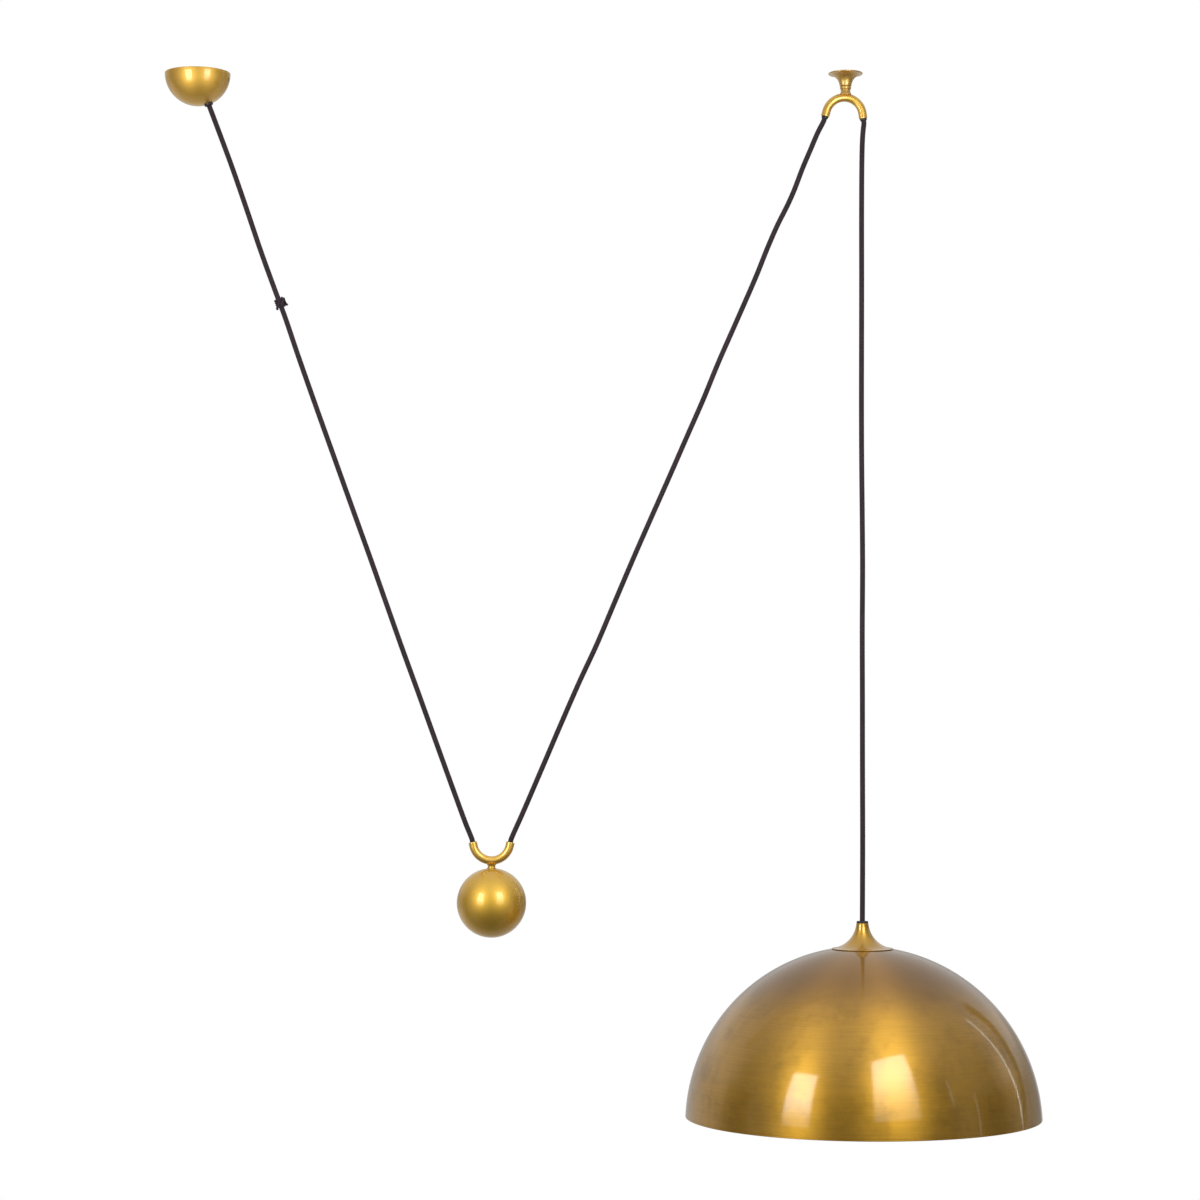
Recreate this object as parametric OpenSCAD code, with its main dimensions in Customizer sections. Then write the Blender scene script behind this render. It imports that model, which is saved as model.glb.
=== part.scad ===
// Rise and fall pendant: a spun brass dome hangs from a ceiling hook on one long textile cord.
// The cord runs on through a bent tube on a heavy brass ball and up to a small ceiling canopy,
// so the ball sinks as the lamp is lifted. Millimetres, +Z up.
// The origin is the middle of the canopy's rim, on the ceiling.

/* [Layout] */
// Distance along the ceiling from the canopy to the hook
hook_x = 812.5; // [677:0.5:975]
// Distance from the canopy's axis to the counterweight's axis
counterweight_x = 370; // [308:1:444]
// Depth of the counterweight's tube mouths below the ceiling
counterweight_drop = 962; // [802:1:1154]
// Depth of the lamp's rim below the ceiling
lamp_drop = 1301; // [1084:1:1561]
// How far inside the hook's outer mouth the lamp's axis hangs
plumb_shift = 4.6; // [3:0.1:6]
// Lean of the hook's tube towards the pull of the two cords, in degrees
hook_lean = 3.5; // [0:0.5:5]

/* [Canopy] */
// Outer diameter of the hemispherical canopy
canopy_d = 82; // [69:1:98]
// Wall of the canopy
canopy_wall = 1; // [0.8:0.1:1.2]
// Angle from straight down at which the cord leaves the canopy
exit_angle = 19.7; // [15:0.1:25]
// Width of the strap that is screwed to the ceiling
strap_w = 14; // [11:1:16]
// Thickness of the strap
strap_t = 1.5; // [1.2:0.1:2]
// Turn of the strap about the canopy's axis, in degrees
strap_turn = -8; // [-20:1:20]
// Diameter of the strap's two ceiling screw holes
ceiling_hole_d = 4.5; // [3.7:0.1:5.4]
// Diameter of the circle that the ceiling screw holes lie on
ceiling_hole_pcd = 50; // [46:1:54]
// Diameter of the two side screws that hold the canopy
side_screw_d = 4; // [3:0.5:4.8]
// Depth of the side screws below the ceiling
side_screw_drop = 9; // [8:0.5:10]
// Height of the strap's two ears
ear_h = 13; // [12:0.5:14]
// Wall of the bush that the cord leaves the canopy through
bush_wall = 1.1; // [0.8:0.1:1.4]
// How far the bush's collar stands out round its neck
bush_collar = 1.1; // [0.8:0.1:2]

/* [Hook] */
// Diameter of the hook's trumpet at the ceiling
trumpet_d = 43; // [36:0.5:45]
// Height of the trumpet
trumpet_h = 16.4; // [15:0.1:19.7]
// Diameter of the trumpet's neck
trumpet_neck_d = 15; // [13.5:0.5:17]
// Radius of the trumpet's hollow curve
trumpet_curve_r = 15; // [13.5:0.5:18]
// Diameter of the collar under the trumpet
hook_collar_d = 14; // [12.5:0.5:16]
// Height of the collar
hook_collar_h = 4.1; // [3.5:0.1:5]
// Diameter of the stem between the collar and the bent tube
hook_stem_d = 12; // [10:0.5:13]
// Length of the stem
hook_stem_h = 5; // [4:0.1:6]
// Diameter of the tapped hole for the ceiling stud
hook_tap_d = 5; // [4:0.1:6]
// Depth of the tapped hole
hook_tap_depth = 14; // [11.5:0.5:16.5]

/* [Bent tubes] */
// Wall of the bent tubes
tube_wall = 1; // [0.8:0.1:1.4]
// Wall of the black liners in the bent tubes
liner_wall = 0.7; // [0.5:0.1:1]
// Bend radius at the tubes' middle line
bend_r = 23; // [19:0.1:28]
// Half of the bend's angle, in degrees
bend_half = 78; // [72:1:84]
// Straight length past the bend on the hook's tube
hook_leg = 7.2; // [5:0.1:9]
// Straight length past the bend on the counterweight's tube
counterweight_leg = 4.6; // [3:0.1:6]
// How far the black liner stands out of the hook's tube
liner_out = 2.5; // [1:0.1:3]

/* [Counterweight] */
// Diameter of the solid ball
ball_d = 86; // [71:1:104]
// Diameter of the neck between the tube and the ball
ball_neck_d = 9.2; // [8.5:0.1:10.5]
// Height of the neck between the tube and the ball
ball_neck_h = 4.2; // [3:0.1:6]
// Diameter of the stud's thread in the ball
stud_d = 8; // [6:0.5:8]
// Length of the stud's thread
stud_l = 26; // [18:1:32]

/* [Cord] */
// Diameter of the textile covered cord
cord_d = 6.4; // [5.3:0.1:7.7]
// Where the stop knot sits, as a share of the left run
knot_at = 0.27; // [0.2:0.01:0.5]
// Diameter of the thin cord that the knot is tied from
knot_strand_d = 2.8; // [2.4:0.1:3.3]
// Turns of the thin cord round the textile cord
knot_turns = 4; // [3:1:5]
// Diameter of the insulated cores
core_d = 2.2; // [1.8:0.1:2.4]

/* [Shade] */
// Diameter of the sphere that the dome is part of
shade_d = 440; // [366:1:528]
// Height of the dome
shade_h = 210; // [175:1:215]
// Wall of the dome
shade_wall = 0.6; // [0.5:0.1:1.2]
// Height of the folded hem at the rim
hem_h = 2.4; // [1.8:0.1:4]
// Thickness of the folded hem
hem_t = 1.4; // [1.3:0.1:2.4]

/* [Shade cap] */
// Diameter of the trumpet-shaped cap
cap_d = 76.5; // [64:0.5:92]
// Height of the cap
cap_h = 32.3; // [30:0.1:36]
// Wall of the cap
cap_wall = 1; // [0.8:0.1:1.1]
// Thickness of the cap's lip
cap_lip_t = 1.1; // [0.9:0.1:1.5]
// Diameter of the cap's neck
cap_neck_d = 15; // [14.4:0.1:18]
// Radius of the cap's hollow curve
cap_curve_r = 33.5; // [30:0.5:40]
// Height of the black ring on the cap's neck
grip_ring_h = 2.4; // [2:0.1:4]

/* [Lampholder] */
// Wall of the threaded nipple
nipple_wall = 1.4; // [1.1:0.1:1.6]
// Outer diameter of the lampholder
holder_d = 39; // [38:0.5:46]
// Height of the lampholder's cap
holder_cap_h = 30; // [29:0.5:36]
// Wall of the lampholder's cap and skirt
holder_wall = 2.2; // [1.8:0.1:2.4]
// Inner diameter of the threaded shell that takes the bulb
socket_d = 26.4; // [26:0.1:27]
// Length of the threaded shell
socket_depth = 20; // [17:0.5:24]

/* [Hidden] */
$fn = 72;
fine_fn = 144;          // facets round the dome, the ball and the canopy
fit_gap = 0.05;         // between pieces that are seated or screwed together
loose_gap = 0.1;        // between pieces that slip into one another
cut = 1;                // how far a cutting shape runs past what it cuts

shade_r = shade_d / 2;
canopy_r = canopy_d / 2;
canopy_inner_r = canopy_r - canopy_wall;
cord_r = cord_d / 2;
core_r = core_d / 2;
core_ring_r = core_d / sqrt(3) + 0.08;  // the three cores lie on this radius in the sheath

// Bent tubes
liner_bore = cord_d + 0.6;
liner_d = liner_bore + 2 * liner_wall;
tube_bore = liner_d + 2 * fit_gap;
tube_d = tube_bore + 2 * tube_wall;
arch_top_drop = trumpet_h + hook_collar_h + hook_stem_h;
hook_spigot_d = hook_tap_d + 3;

// Canopy fittings
ear_x = sqrt(pow(canopy_inner_r, 2) - pow(ear_h, 2) - pow(strap_w / 2, 2)) - 0.7;
bush_bore = cord_d + 0.2;
bush_neck_d = bush_bore + 2 * bush_wall;
bush_out = canopy_r + 2.2;
bush_collar_in = canopy_r - 0.6;
bush_nut_flats = bush_neck_d + 4;
bush_nut_t = 3.8;
bush_nut_in = sqrt(pow(canopy_inner_r, 2) - pow(bush_nut_flats, 2) / 3) - fit_gap - bush_nut_t;
tie_t = 3.5;
tie_d = cord_d + 3.8;
canopy_tail_in = bush_nut_in - tie_t - 4.5;
block = [12, 18, 11];
block_x = -8;
block_top = strap_t + fit_gap;
pole_y = 4.5;
pole_bore = core_d + 0.6;
pole_d = pole_bore + 1.6;
pole_screw_x = 3;
earth_x = 9;
small_screw_d = 3;
small_head_d = 5.6;
small_head_h = 2;
block_head_d = 3.8;

// Counterweight
ball_r = ball_d / 2;
bend_bottom_z = -counterweight_drop + tube_end(counterweight_leg)[1] - bend_r - tube_d / 2;
ball_top_z = bend_bottom_z - ball_neck_h;
ball_seat = 0.6;
ball_collar_d = ball_neck_d + 2.2;

// Shade and cap, measured up from the top of the dome
cap_r = cap_d / 2;
cap_seat = shade_r - sqrt(pow(shade_r, 2) - pow(cap_r, 2));
cap_neck_z = cap_h - cap_seat;
cap_curve = arc_centre([cap_r, cap_lip_t - cap_seat], [cap_neck_d / 2, cap_neck_z], cap_curve_r);
cap_spigot_d = cap_neck_d - 2 * cap_wall - 0.6;
cap_spigot_h = 9;
grip_top = cap_neck_z + grip_ring_h;
nipple_bore = cord_d + 0.8;
nipple_d = nipple_bore + 2 * nipple_wall;
nipple_top = cap_neck_z - 2;
washer_t = 1;
upper_washer_d = nipple_d + 8;
lower_washer_d = nipple_d + 10;
lock_nut_flats = nipple_d + 4;
lock_nut_t = 4;
shade_hole_d = nipple_d + 0.4;

// Lampholder, measured down from the top of the dome
under_shade = shade_r - sqrt(pow(shade_r - shade_wall, 2) - pow(lower_washer_d / 2, 2)) + 0.02;
holder_top = under_shade + washer_t + 0.02;
boss_d = nipple_d + 6;
boss_h = 6.1;
shoulder = holder_top + boss_h;
nipple_down = shoulder + 1;
sheath_end = shoulder + 5;
holder_split = holder_top + holder_cap_h;
holder_thread_h = 5;
holder_thread_wall = 1.7;
insert_d = holder_d - 2 * holder_wall - 2 * holder_thread_wall - 0.8;
insert_top = holder_split - 10;
insert_floor = holder_split - 2;
contact_room = 3.6;
socket_top = insert_floor + contact_room;
insert_bottom = socket_top + socket_depth + 0.5;
skirt_lip_t = 1.8;
skirt_bottom = insert_bottom + loose_gap + skirt_lip_t;
shell_t = 0.4;
socket_outer_d = socket_d + 2 * shell_t;
terminal = [5, 6, 5];
terminal_x = 8.5;
terminal_pin_d = 1.8;
terminal_face = terminal_x - terminal[0] / 2;
terminal_z = -insert_top + fit_gap + terminal[2] / 2;
holder_earth_y = -12;

// Where the cord enters and leaves
left_mouth = [counterweight_x, -counterweight_drop] - [tube_end(counterweight_leg)[0], 0];
right_mouth = [counterweight_x, -counterweight_drop] + [tube_end(counterweight_leg)[0], 0];
hook_in_mouth = hook_point(-1, hook_leg + liner_out);
hook_out_mouth = hook_point(1, hook_leg + liner_out);
lamp_x = hook_point(1, hook_leg)[0] - plumb_shift;
apex_z = -lamp_drop + shade_h;
canopy_mouth = bush_out * [sin(exit_angle), -cos(exit_angle)];
grip_mouth = [lamp_x, apex_z + grip_top];

// How far each run strays from a straight line: share of the way, and distance towards the right
left_sway = [
    [0.08, 1], [0.14, 0.5], [0.2, -0.5], [0.25, -0.3], [0.29, 0.2], [0.34, -0.6], [0.41, -1],
    [0.48, -1], [0.55, -1], [0.62, -0.9], [0.68, -1.2], [0.74, -1.4], [0.8, -1.1], [0.87, -1],
    [0.93, -0.8], [0.975, -0.4]
];
right_sway = [
    [0.02, -0.6], [0.045, -0.5], [0.07, -0.3], [0.1, 1], [0.12, 0.8], [0.15, -0.8], [0.18, -0.9],
    [0.22, 0.2], [0.28, 0.1], [0.34, -0.2], [0.39, 0.8], [0.44, 0.6], [0.5, 0.4], [0.56, -0.1],
    [0.61, -0.3], [0.67, 0.1], [0.73, 0.6], [0.78, -0.7], [0.84, -0.9], [0.9, -0.6], [0.96, -0.4]
];
drop_sway = [
    [0.012, -0.5], [0.025, -1.4], [0.05, -2], [0.12, -2.3], [0.2, -2.1], [0.28, -2.1], [0.36, -2.1],
    [0.43, -1.7], [0.5, -0.9], [0.56, -0.4], [0.64, -0.7], [0.72, -0.4], [0.8, -0.2], [0.9, 0.2],
    [0.96, 0.1]
];
stub = 3;               // straight length of cord square to each mouth
cord_sides = 12;
core_sides = 8;

brass = [0.80, 0.60, 0.22];
dark_brass = [0.62, 0.46, 0.18];
steel = [0.70, 0.71, 0.72];
black = [0.10, 0.09, 0.10];
ceramic = [0.93, 0.92, 0.88];
cord_black = [0.16, 0.13, 0.15];
brown = [0.40, 0.22, 0.12];
blue = [0.12, 0.30, 0.65];
green = [0.35, 0.60, 0.15];

// ---- Functions ----

function unit(v) = v / norm(v);

// Centre of a circle of radius r through p and q, on the side away from the axis and above
function arc_centre(p, q, r) =
    let (half = norm(q - p) / 2, along = unit(q - p), side = [along[1], -along[0]])
    (p + q) / 2 + side * sqrt(r * r - half * half);

// End of a bent tube's right half, from the centre of its bend, with the bend's top at +Z
function tube_end(leg) = [
    bend_r * sin(bend_half) + leg * cos(bend_half),
    bend_r * cos(bend_half) - leg * sin(bend_half)
];

// A mouth of the hook's tube: side is -1 for the left one and 1 for the right one
function hook_point(side, leg) =
    let (e = [tube_end(leg)[0] * side, tube_end(leg)[1] - bend_r - tube_d / 2])
    [
        hook_x + e[0] * cos(hook_lean) + e[1] * sin(hook_lean),
        -arch_top_drop - e[0] * sin(hook_lean) + e[1] * cos(hook_lean)
    ];

// Direction, in the upright plane of the cords, at an angle from straight down towards +X
function down_at(angle) = [sin(angle), -cos(angle)];

// A run of cord: straight stubs square to both mouths, and the sway in between
function run_points(from, from_dir, to, to_dir, sway) =
    let (way = to - from, right = [-way[1], way[0]] / norm(way))
    [
        for (p = concat(
            [from, from + stub * from_dir],
            [for (s = sway) from + s[0] * way + s[1] * right],
            [to + stub * to_dir, to]
        )) [p[0], 0, p[1]]
    ];

function tangent(points, i) =
    let (last = len(points) - 1, before = max(i - 1, 0), after = min(i + 1, last))
    unit(
        (i < last ? unit(points[after] - points[i]) : [0, 0, 0])
        + (i > 0 ? unit(points[i] - points[before]) : [0, 0, 0])
    );

// Points of a smooth curve that leaves a in the direction of da and reaches b along db
function curved(a, da, b, db) =
    let (steps = 7)
    [
        for (i = [0 : steps])
            let (t = i / steps, u = 1 - t)
            u * u * u * a + 3 * u * u * t * (a + da) + 3 * u * t * t * (b - db) + t * t * t * b
    ];

left_points = run_points(
    canopy_mouth, down_at(exit_angle), left_mouth, -down_at(90 - bend_half), left_sway
);
right_points = run_points(
    hook_in_mouth, down_at(bend_half - 90 - hook_lean), right_mouth, -down_at(bend_half - 90),
    right_sway
);
drop_points = run_points(
    hook_out_mouth, down_at(90 - bend_half - hook_lean), grip_mouth, [0, 1], drop_sway
);

// ---- Shared shapes ----

// A tube of triangles along points; its first corner of each ring lies square to ref
module swept(points, d, sides, ref = [0, 1, 0]) {
    n = len(points);
    corners = [
        for (i = [0 : n - 1])
            let (t = tangent(points, i), a = unit(cross(t, ref)), b = cross(t, a))
            for (k = [0 : sides - 1])
                points[i] + d / 2 * (cos(360 * k / sides) * a + sin(360 * k / sides) * b)
    ];
    walls = [
        for (i = [0 : n - 2])
            for (k = [0 : sides - 1])
                let (j = (k + 1) % sides, low = i * sides, high = low + sides)
                each [[low + k, high + k, high + j], [low + k, high + j, low + j]]
    ];
    ends = [
        for (k = [1 : sides - 2])
            each [[0, k, k + 1], [(n - 1) * sides, (n - 1) * sides + k + 1, (n - 1) * sides + k]]
    ];
    polyhedron(points = corners, faces = concat(walls, ends), convexity = 10);
}

module ring(d, bore, h) {
    difference() {
        cylinder(d = d, h = h);
        translate([0, 0, -cut])
            cylinder(d = bore, h = h + 2 * cut);
    }
}

module hex_nut(flats, bore, h) {
    difference() {
        cylinder(d = flats * 2 / sqrt(3), h = h, $fn = 6);
        translate([0, 0, -cut])
            cylinder(d = bore, h = h + 2 * cut);
    }
}

// A solid bend with straight legs, upright in XZ, its top at +Z and its bend centre at the origin
module bend(d, leg) {
    rotate([90, 0, 0]) {
        rotate([0, 0, 90 - bend_half])
            rotate_extrude(angle = 2 * bend_half)
                translate([bend_r, 0])
                    circle(d = d);
        for (side = [-1, 1])
            rotate([0, 0, 90 - side * bend_half])
                translate([bend_r, 0, 0])
                    rotate([side * 90, 0, 0])
                        cylinder(d = d, h = leg);
    }
}

module bent_tube(d, bore, leg) {
    difference() {
        bend(d, leg);
        bend(bore, leg + cut);
    }
}

module in_hook() {
    translate([hook_x, 0, -arch_top_drop])
        rotate([0, hook_lean, 0])
            translate([0, 0, -bend_r - tube_d / 2])
                children();
}

module in_counterweight() {
    translate([counterweight_x, 0, -counterweight_drop + tube_end(counterweight_leg)[1]])
        mirror([0, 0, 1])
            children();
}

// The exit's own frame: +Z runs out of the canopy along the cord
module in_exit() {
    rotate([0, 180 - exit_angle, 0])
        children();
}

// The strap's own frame: +X runs along the strap
module in_strap() {
    rotate([0, 0, strap_turn])
        children();
}

module in_lamp() {
    translate([lamp_x, 0, apex_z])
        children();
}

// A bare core: straight out of the sheath at a, curved to b, and straight on into its terminal
module core(a, a_dir, a_pull, b, b_dir, b_pull, deep, colour, ref = [0, 1, 0]) {
    lead = 1.2;
    color(colour)
        swept(
            concat(
                [a],
                curved(a + lead * a_dir, a_pull * a_dir, b, b_pull * b_dir),
                [b + deep * b_dir]
            ),
            core_d, core_sides, ref
        );
}

// ---- Canopy ----

module canopy() {
    color(brass)
        difference() {
            rotate_extrude($fn = fine_fn)
                intersection() {
                    translate([0, -canopy_r])
                        square([canopy_r, canopy_r]);
                    difference() {
                        circle(r = canopy_r);
                        circle(r = canopy_inner_r);
                    }
                }
            in_exit()
                cylinder(d = bush_neck_d + 2 * fit_gap, h = canopy_r + cut);
            in_strap()
                translate([-canopy_r - cut, 0, -side_screw_drop])
                    rotate([0, 90, 0])
                        cylinder(d = side_screw_d + 2 * loose_gap, h = canopy_d + 2 * cut);
        }
}

module ceiling_strap() {
    color(steel)
        in_strap()
            difference() {
                union() {
                    translate([-ear_x, -strap_w / 2, -strap_t])
                        cube([2 * ear_x, strap_w, strap_t]);
                    for (x = [-ear_x, ear_x - strap_t])
                        translate([x, -strap_w / 2, -ear_h])
                            cube([strap_t, strap_w, ear_h]);
                }
                for (x = [-1, 1])
                    translate([x * ceiling_hole_pcd / 2, 0, -strap_t - cut])
                        cylinder(d = ceiling_hole_d, h = strap_t + 2 * cut);
                translate([-canopy_r, 0, -side_screw_drop])
                    rotate([0, 90, 0])
                        cylinder(d = side_screw_d + 2 * fit_gap, h = canopy_d);
                for (x = [block_x, earth_x])
                    translate([x, 0, -strap_t - cut])
                        cylinder(d = small_screw_d + 2 * fit_gap, h = strap_t + 2 * cut);
            }
}

// Two slotted grub screws, out through the canopy's wall on both sides
module side_screws() {
    outer = sqrt(pow(canopy_r, 2) - pow(side_screw_drop, 2)) - 0.2;
    inner = ear_x - strap_t - 1.5;
    color(dark_brass)
        in_strap()
            for (side = [0, 1])
                mirror([side, 0, 0])
                    translate([inner, 0, -side_screw_drop])
                        rotate([0, 90, 0])
                            difference() {
                                cylinder(d = side_screw_d, h = outer - inner);
                                translate([-side_screw_d, -0.4, outer - inner - 1])
                                    cube([2 * side_screw_d, 0.8, 1 + cut]);
                            }
}

module canopy_bush() {
    color(black)
        in_exit()
            difference() {
                union() {
                    cylinder(d = bush_neck_d, h = bush_out);
                    difference() {
                        translate([0, 0, bush_collar_in])
                            cylinder(d = bush_neck_d + 2 * bush_collar, h = bush_out - bush_collar_in);
                        sphere(r = canopy_r + fit_gap, $fn = fine_fn);
                    }
                }
                translate([0, 0, -cut])
                    cylinder(d = bush_neck_d + cut, h = bush_nut_in + cut);
                translate([0, 0, -cut])
                    cylinder(d = bush_bore, h = bush_out + 2 * cut);
            }
}

module canopy_bush_nut() {
    color(black)
        in_exit()
            translate([0, 0, bush_nut_in])
                hex_nut(bush_nut_flats, bush_neck_d + 2 * fit_gap, bush_nut_t);
}

// Tie round the cord, under the nut, so that the cord can't pull out
module canopy_cord_tie() {
    color(ceramic)
        in_exit()
            translate([0, 0, bush_nut_in - tie_t - fit_gap])
                difference() {
                    union() {
                        cylinder(d = tie_d, h = tie_t);
                        translate([-2.2, tie_d / 2 - 1.2, 0])
                            cube([4.4, 3.2, tie_t]);
                    }
                    translate([0, 0, -cut])
                        cylinder(d = cord_d + 2 * fit_gap, h = tie_t + 2 * cut);
                }
}

module canopy_cord_tail() {
    color(cord_black)
        in_exit()
            translate([0, 0, canopy_tail_in])
                cylinder(d = cord_d, h = bush_out - canopy_tail_in);
}

module terminal_block() {
    color(ceramic)
        in_strap()
            difference() {
                translate([block_x - block[0] / 2, -block[1] / 2, -block_top - block[2]])
                    cube(block);
                for (side = [-1, 1])
                    translate([block_x - block[0], side * pole_y, -block_top - block[2] / 2])
                        rotate([0, 90, 0])
                            cylinder(d = pole_d + 2 * fit_gap, h = 2 * block[0]);
                for (x = [-1, 1], side = [-1, 1])
                    translate([block_x + x * pole_screw_x, side * pole_y, -block_top - block[2] - cut])
                        cylinder(d = small_screw_d, h = block[2] / 2);
                translate([block_x, 0, -block_top - block[2] - cut])
                    cylinder(d = small_screw_d + 2 * fit_gap, h = block[2] + 2 * cut);
                translate([block_x, 0, -block_top - block[2] - cut])
                    cylinder(d = block_head_d + 2 * loose_gap, h = small_head_h + cut);
            }
}

// Brass tubes in the block; a core and a supply wire meet in each
module terminal_tubes() {
    color(brass)
        in_strap()
            for (side = [-1, 1])
                translate([block_x - block[0] / 2 + 0.5, side * pole_y, -block_top - block[2] / 2])
                    rotate([0, 90, 0])
                        difference() {
                            cylinder(d = pole_d, h = block[0] - 1);
                            translate([0, 0, -cut])
                                cylinder(d = pole_bore, h = block[0] + cut);
                        }
}

module terminal_screws() {
    gap = fit_gap + pole_d / 2;
    h = block[2] / 2 - gap - 0.4;
    color(steel)
        in_strap()
            for (x = [-1, 1], side = [-1, 1])
                translate([block_x + x * pole_screw_x, side * pole_y, -block_top - block[2] + 0.4])
                    difference() {
                        cylinder(d = small_screw_d - 2 * fit_gap, h = h);
                        translate([-small_screw_d, -0.3, -cut])
                            cube([2 * small_screw_d, 0.6, cut + 0.7]);
                    }
}

module block_screw() {
    color(steel)
        in_strap()
            translate([block_x, 0, -block_top - block[2]]) {
                cylinder(d = block_head_d, h = small_head_h);
                cylinder(d = small_screw_d, h = block[2] + block_top);
            }
}

module strap_earth_screw() {
    color(brass)
        in_strap()
            translate([earth_x, 0, -strap_t - 2.6])
                difference() {
                    union() {
                        cylinder(d = small_screw_d, h = strap_t + 2.6);
                        cylinder(d = small_head_d, h = small_head_h);
                        translate([0, 0, small_head_h])
                            cylinder(d = small_head_d + 1, h = 0.6 - fit_gap);
                    }
                    translate([-small_head_d, -0.4, -cut])
                        cube([2 * small_head_d, 0.8, cut + 0.8]);
                }
}

// Where core 0, 1 or 2 leaves the cut end of the sheath: across and to the side of its middle
function core_at(i) = core_ring_r * [cos(120 * i), sin(120 * i)];

// The same place in the canopy, in the strap's frame
function sheath_point(i) =
    let (c = core_at(i), out = canopy_tail_in - fit_gap, s = exit_angle, t = -strap_turn)
    let (x = out * sin(s) + c[0] * cos(s), z = -out * cos(s) + c[0] * sin(s))
    [x * cos(t) - c[1] * sin(t), x * sin(t) + c[1] * cos(t), z];

sheath_dir = [
    -sin(exit_angle) * cos(strap_turn),
    sin(exit_angle) * sin(strap_turn),
    cos(exit_angle)
];

module pole_core(i, side, colour) {
    straight = 1.5;
    entry = [block_x + block[0] / 2 + straight, side * pole_y, -block_top - block[2] / 2];
    in_strap()
        core(sheath_point(i), sheath_dir, 9, entry, [-1, 0, 0], 7, straight + 3, colour);
}

module canopy_live_core() {
    pole_core(2, -1, brown);
}

module canopy_neutral_core() {
    pole_core(1, 1, blue);
}

module canopy_earth_core() {
    straight = 1.5;
    entry = [earth_x, small_head_d / 2 + straight, -strap_t - 0.65 - core_r];
    in_strap()
        core(sheath_point(0), sheath_dir, 9, entry, [0, -1, 0], 9, straight, green, [1, 0, 0]);
}

// ---- Ceiling hook ----

module hook_trumpet() {
    curve = [trumpet_neck_d / 2 + trumpet_curve_r, -trumpet_h];
    wall = 1.2;
    neck_solid = 4;
    lip_t = 0.9;
    color(brass)
        turned_at_hook()
            difference() {
                translate([0, -trumpet_h])
                    square([trumpet_d / 2, trumpet_h]);
                difference() {
                    translate(curve)
                        circle(r = trumpet_curve_r, $fn = fine_fn);
                    translate([0, -lip_t])
                        square([trumpet_d, lip_t + cut]);
                }
                difference() {
                    translate([0, -trumpet_h + neck_solid])
                        square([trumpet_d / 2 - wall, trumpet_h]);
                    translate(curve)
                        circle(r = trumpet_curve_r + wall, $fn = fine_fn);
                }
                translate([0, -trumpet_h - cut])
                    square([hook_spigot_d / 2 + loose_gap, trumpet_h + 2 * cut]);
            }
}

module turned_at_hook() {
    translate([hook_x, 0, 0])
        rotate_extrude($fn = fine_fn)
            children();
}

// Turned piece: tapped spigot inside the trumpet, collar, and stem brazed on the bent tube
module hook_stem() {
    sink = 2;
    flare = 1.5;
    spigot_top = 1;
    color(brass)
        difference() {
            translate([hook_x, 0, 0]) {
                translate([0, 0, -trumpet_h - fit_gap])
                    cylinder(d = hook_spigot_d, h = trumpet_h - spigot_top + fit_gap);
                translate([0, 0, -trumpet_h - hook_collar_h])
                    cylinder(d = hook_collar_d, h = hook_collar_h - fit_gap);
                translate([0, 0, -arch_top_drop - sink])
                    cylinder(d = hook_stem_d, h = hook_stem_h + sink);
                translate([0, 0, -arch_top_drop - sink])
                    cylinder(d1 = hook_stem_d + 2 * flare, d2 = hook_stem_d, h = sink + flare);
            }
            translate([hook_x, 0, -spigot_top - hook_tap_depth])
                cylinder(d = hook_tap_d, h = hook_tap_depth + cut);
            in_hook()
                bend(tube_d + 2 * fit_gap, hook_leg);
        }
}

module hook_tube() {
    color(brass)
        in_hook()
            bent_tube(tube_d, tube_bore, hook_leg);
}

module hook_liner() {
    color(black)
        in_hook()
            bent_tube(liner_d, liner_bore, hook_leg + liner_out);
}

module cord_in_hook() {
    color(cord_black)
        in_hook()
            bend(cord_d, hook_leg + liner_out);
}

// ---- Free runs of the cord ----

module cord_left_run() {
    color(cord_black)
        swept(left_points, cord_d, cord_sides);
}

module cord_right_run() {
    color(cord_black)
        swept(right_points, cord_d, cord_sides);
}

module cord_drop_run() {
    color(cord_black)
        swept(drop_points, cord_d, cord_sides);
}

// Thin cord tied round the left run as a stop: turns, a lump where it is tied, and two short tails
module cord_knot() {
    way = left_mouth - canopy_mouth;
    right = [-way[1], way[0]] / norm(way);
    at = canopy_mouth + knot_at * way + lookup(knot_at, left_sway) * right;
    sleeve_r = cord_r + 0.2;
    turn_r = sleeve_r + knot_strand_d / 2;
    pitch = knot_strand_d * 0.95;
    span = (knot_turns - 1) * pitch;
    color(cord_black)
        translate([at[0], 0, at[1]])
            rotate([0, 180 - atan2(way[0], -way[1]), 0])
                difference() {
                    union() {
                        for (i = [0 : knot_turns - 1])
                            translate([0, 0, i * pitch - span / 2])
                                rotate_extrude()
                                    translate([turn_r, 0])
                                        circle(d = knot_strand_d);
                        translate([0, 0, -span / 2])
                            cylinder(r = turn_r, h = span);
                        translate([-sleeve_r - knot_strand_d * 0.7, 0, 0])
                            sphere(d = knot_strand_d * 2.1);
                        translate([-turn_r, 0, 0])
                            rotate([0, -35, 0])
                                cylinder(d = knot_strand_d * 0.9, h = 8.5);
                        translate([turn_r, 0, span / 2])
                            cylinder(d = knot_strand_d * 0.9, h = 4.5);
                    }
                    translate([0, 0, -10 - span])
                        cylinder(r = sleeve_r, h = 2 * (10 + span));
                }
}

// ---- Counterweight ----

module counterweight_tube() {
    color(brass)
        in_counterweight()
            bent_tube(tube_d, tube_bore, counterweight_leg);
}

module counterweight_liner() {
    color(black)
        in_counterweight()
            bent_tube(liner_d, liner_bore, counterweight_leg - 0.5);
}

module cord_in_counterweight() {
    color(cord_black)
        in_counterweight()
            bend(cord_d, counterweight_leg);
}

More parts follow.
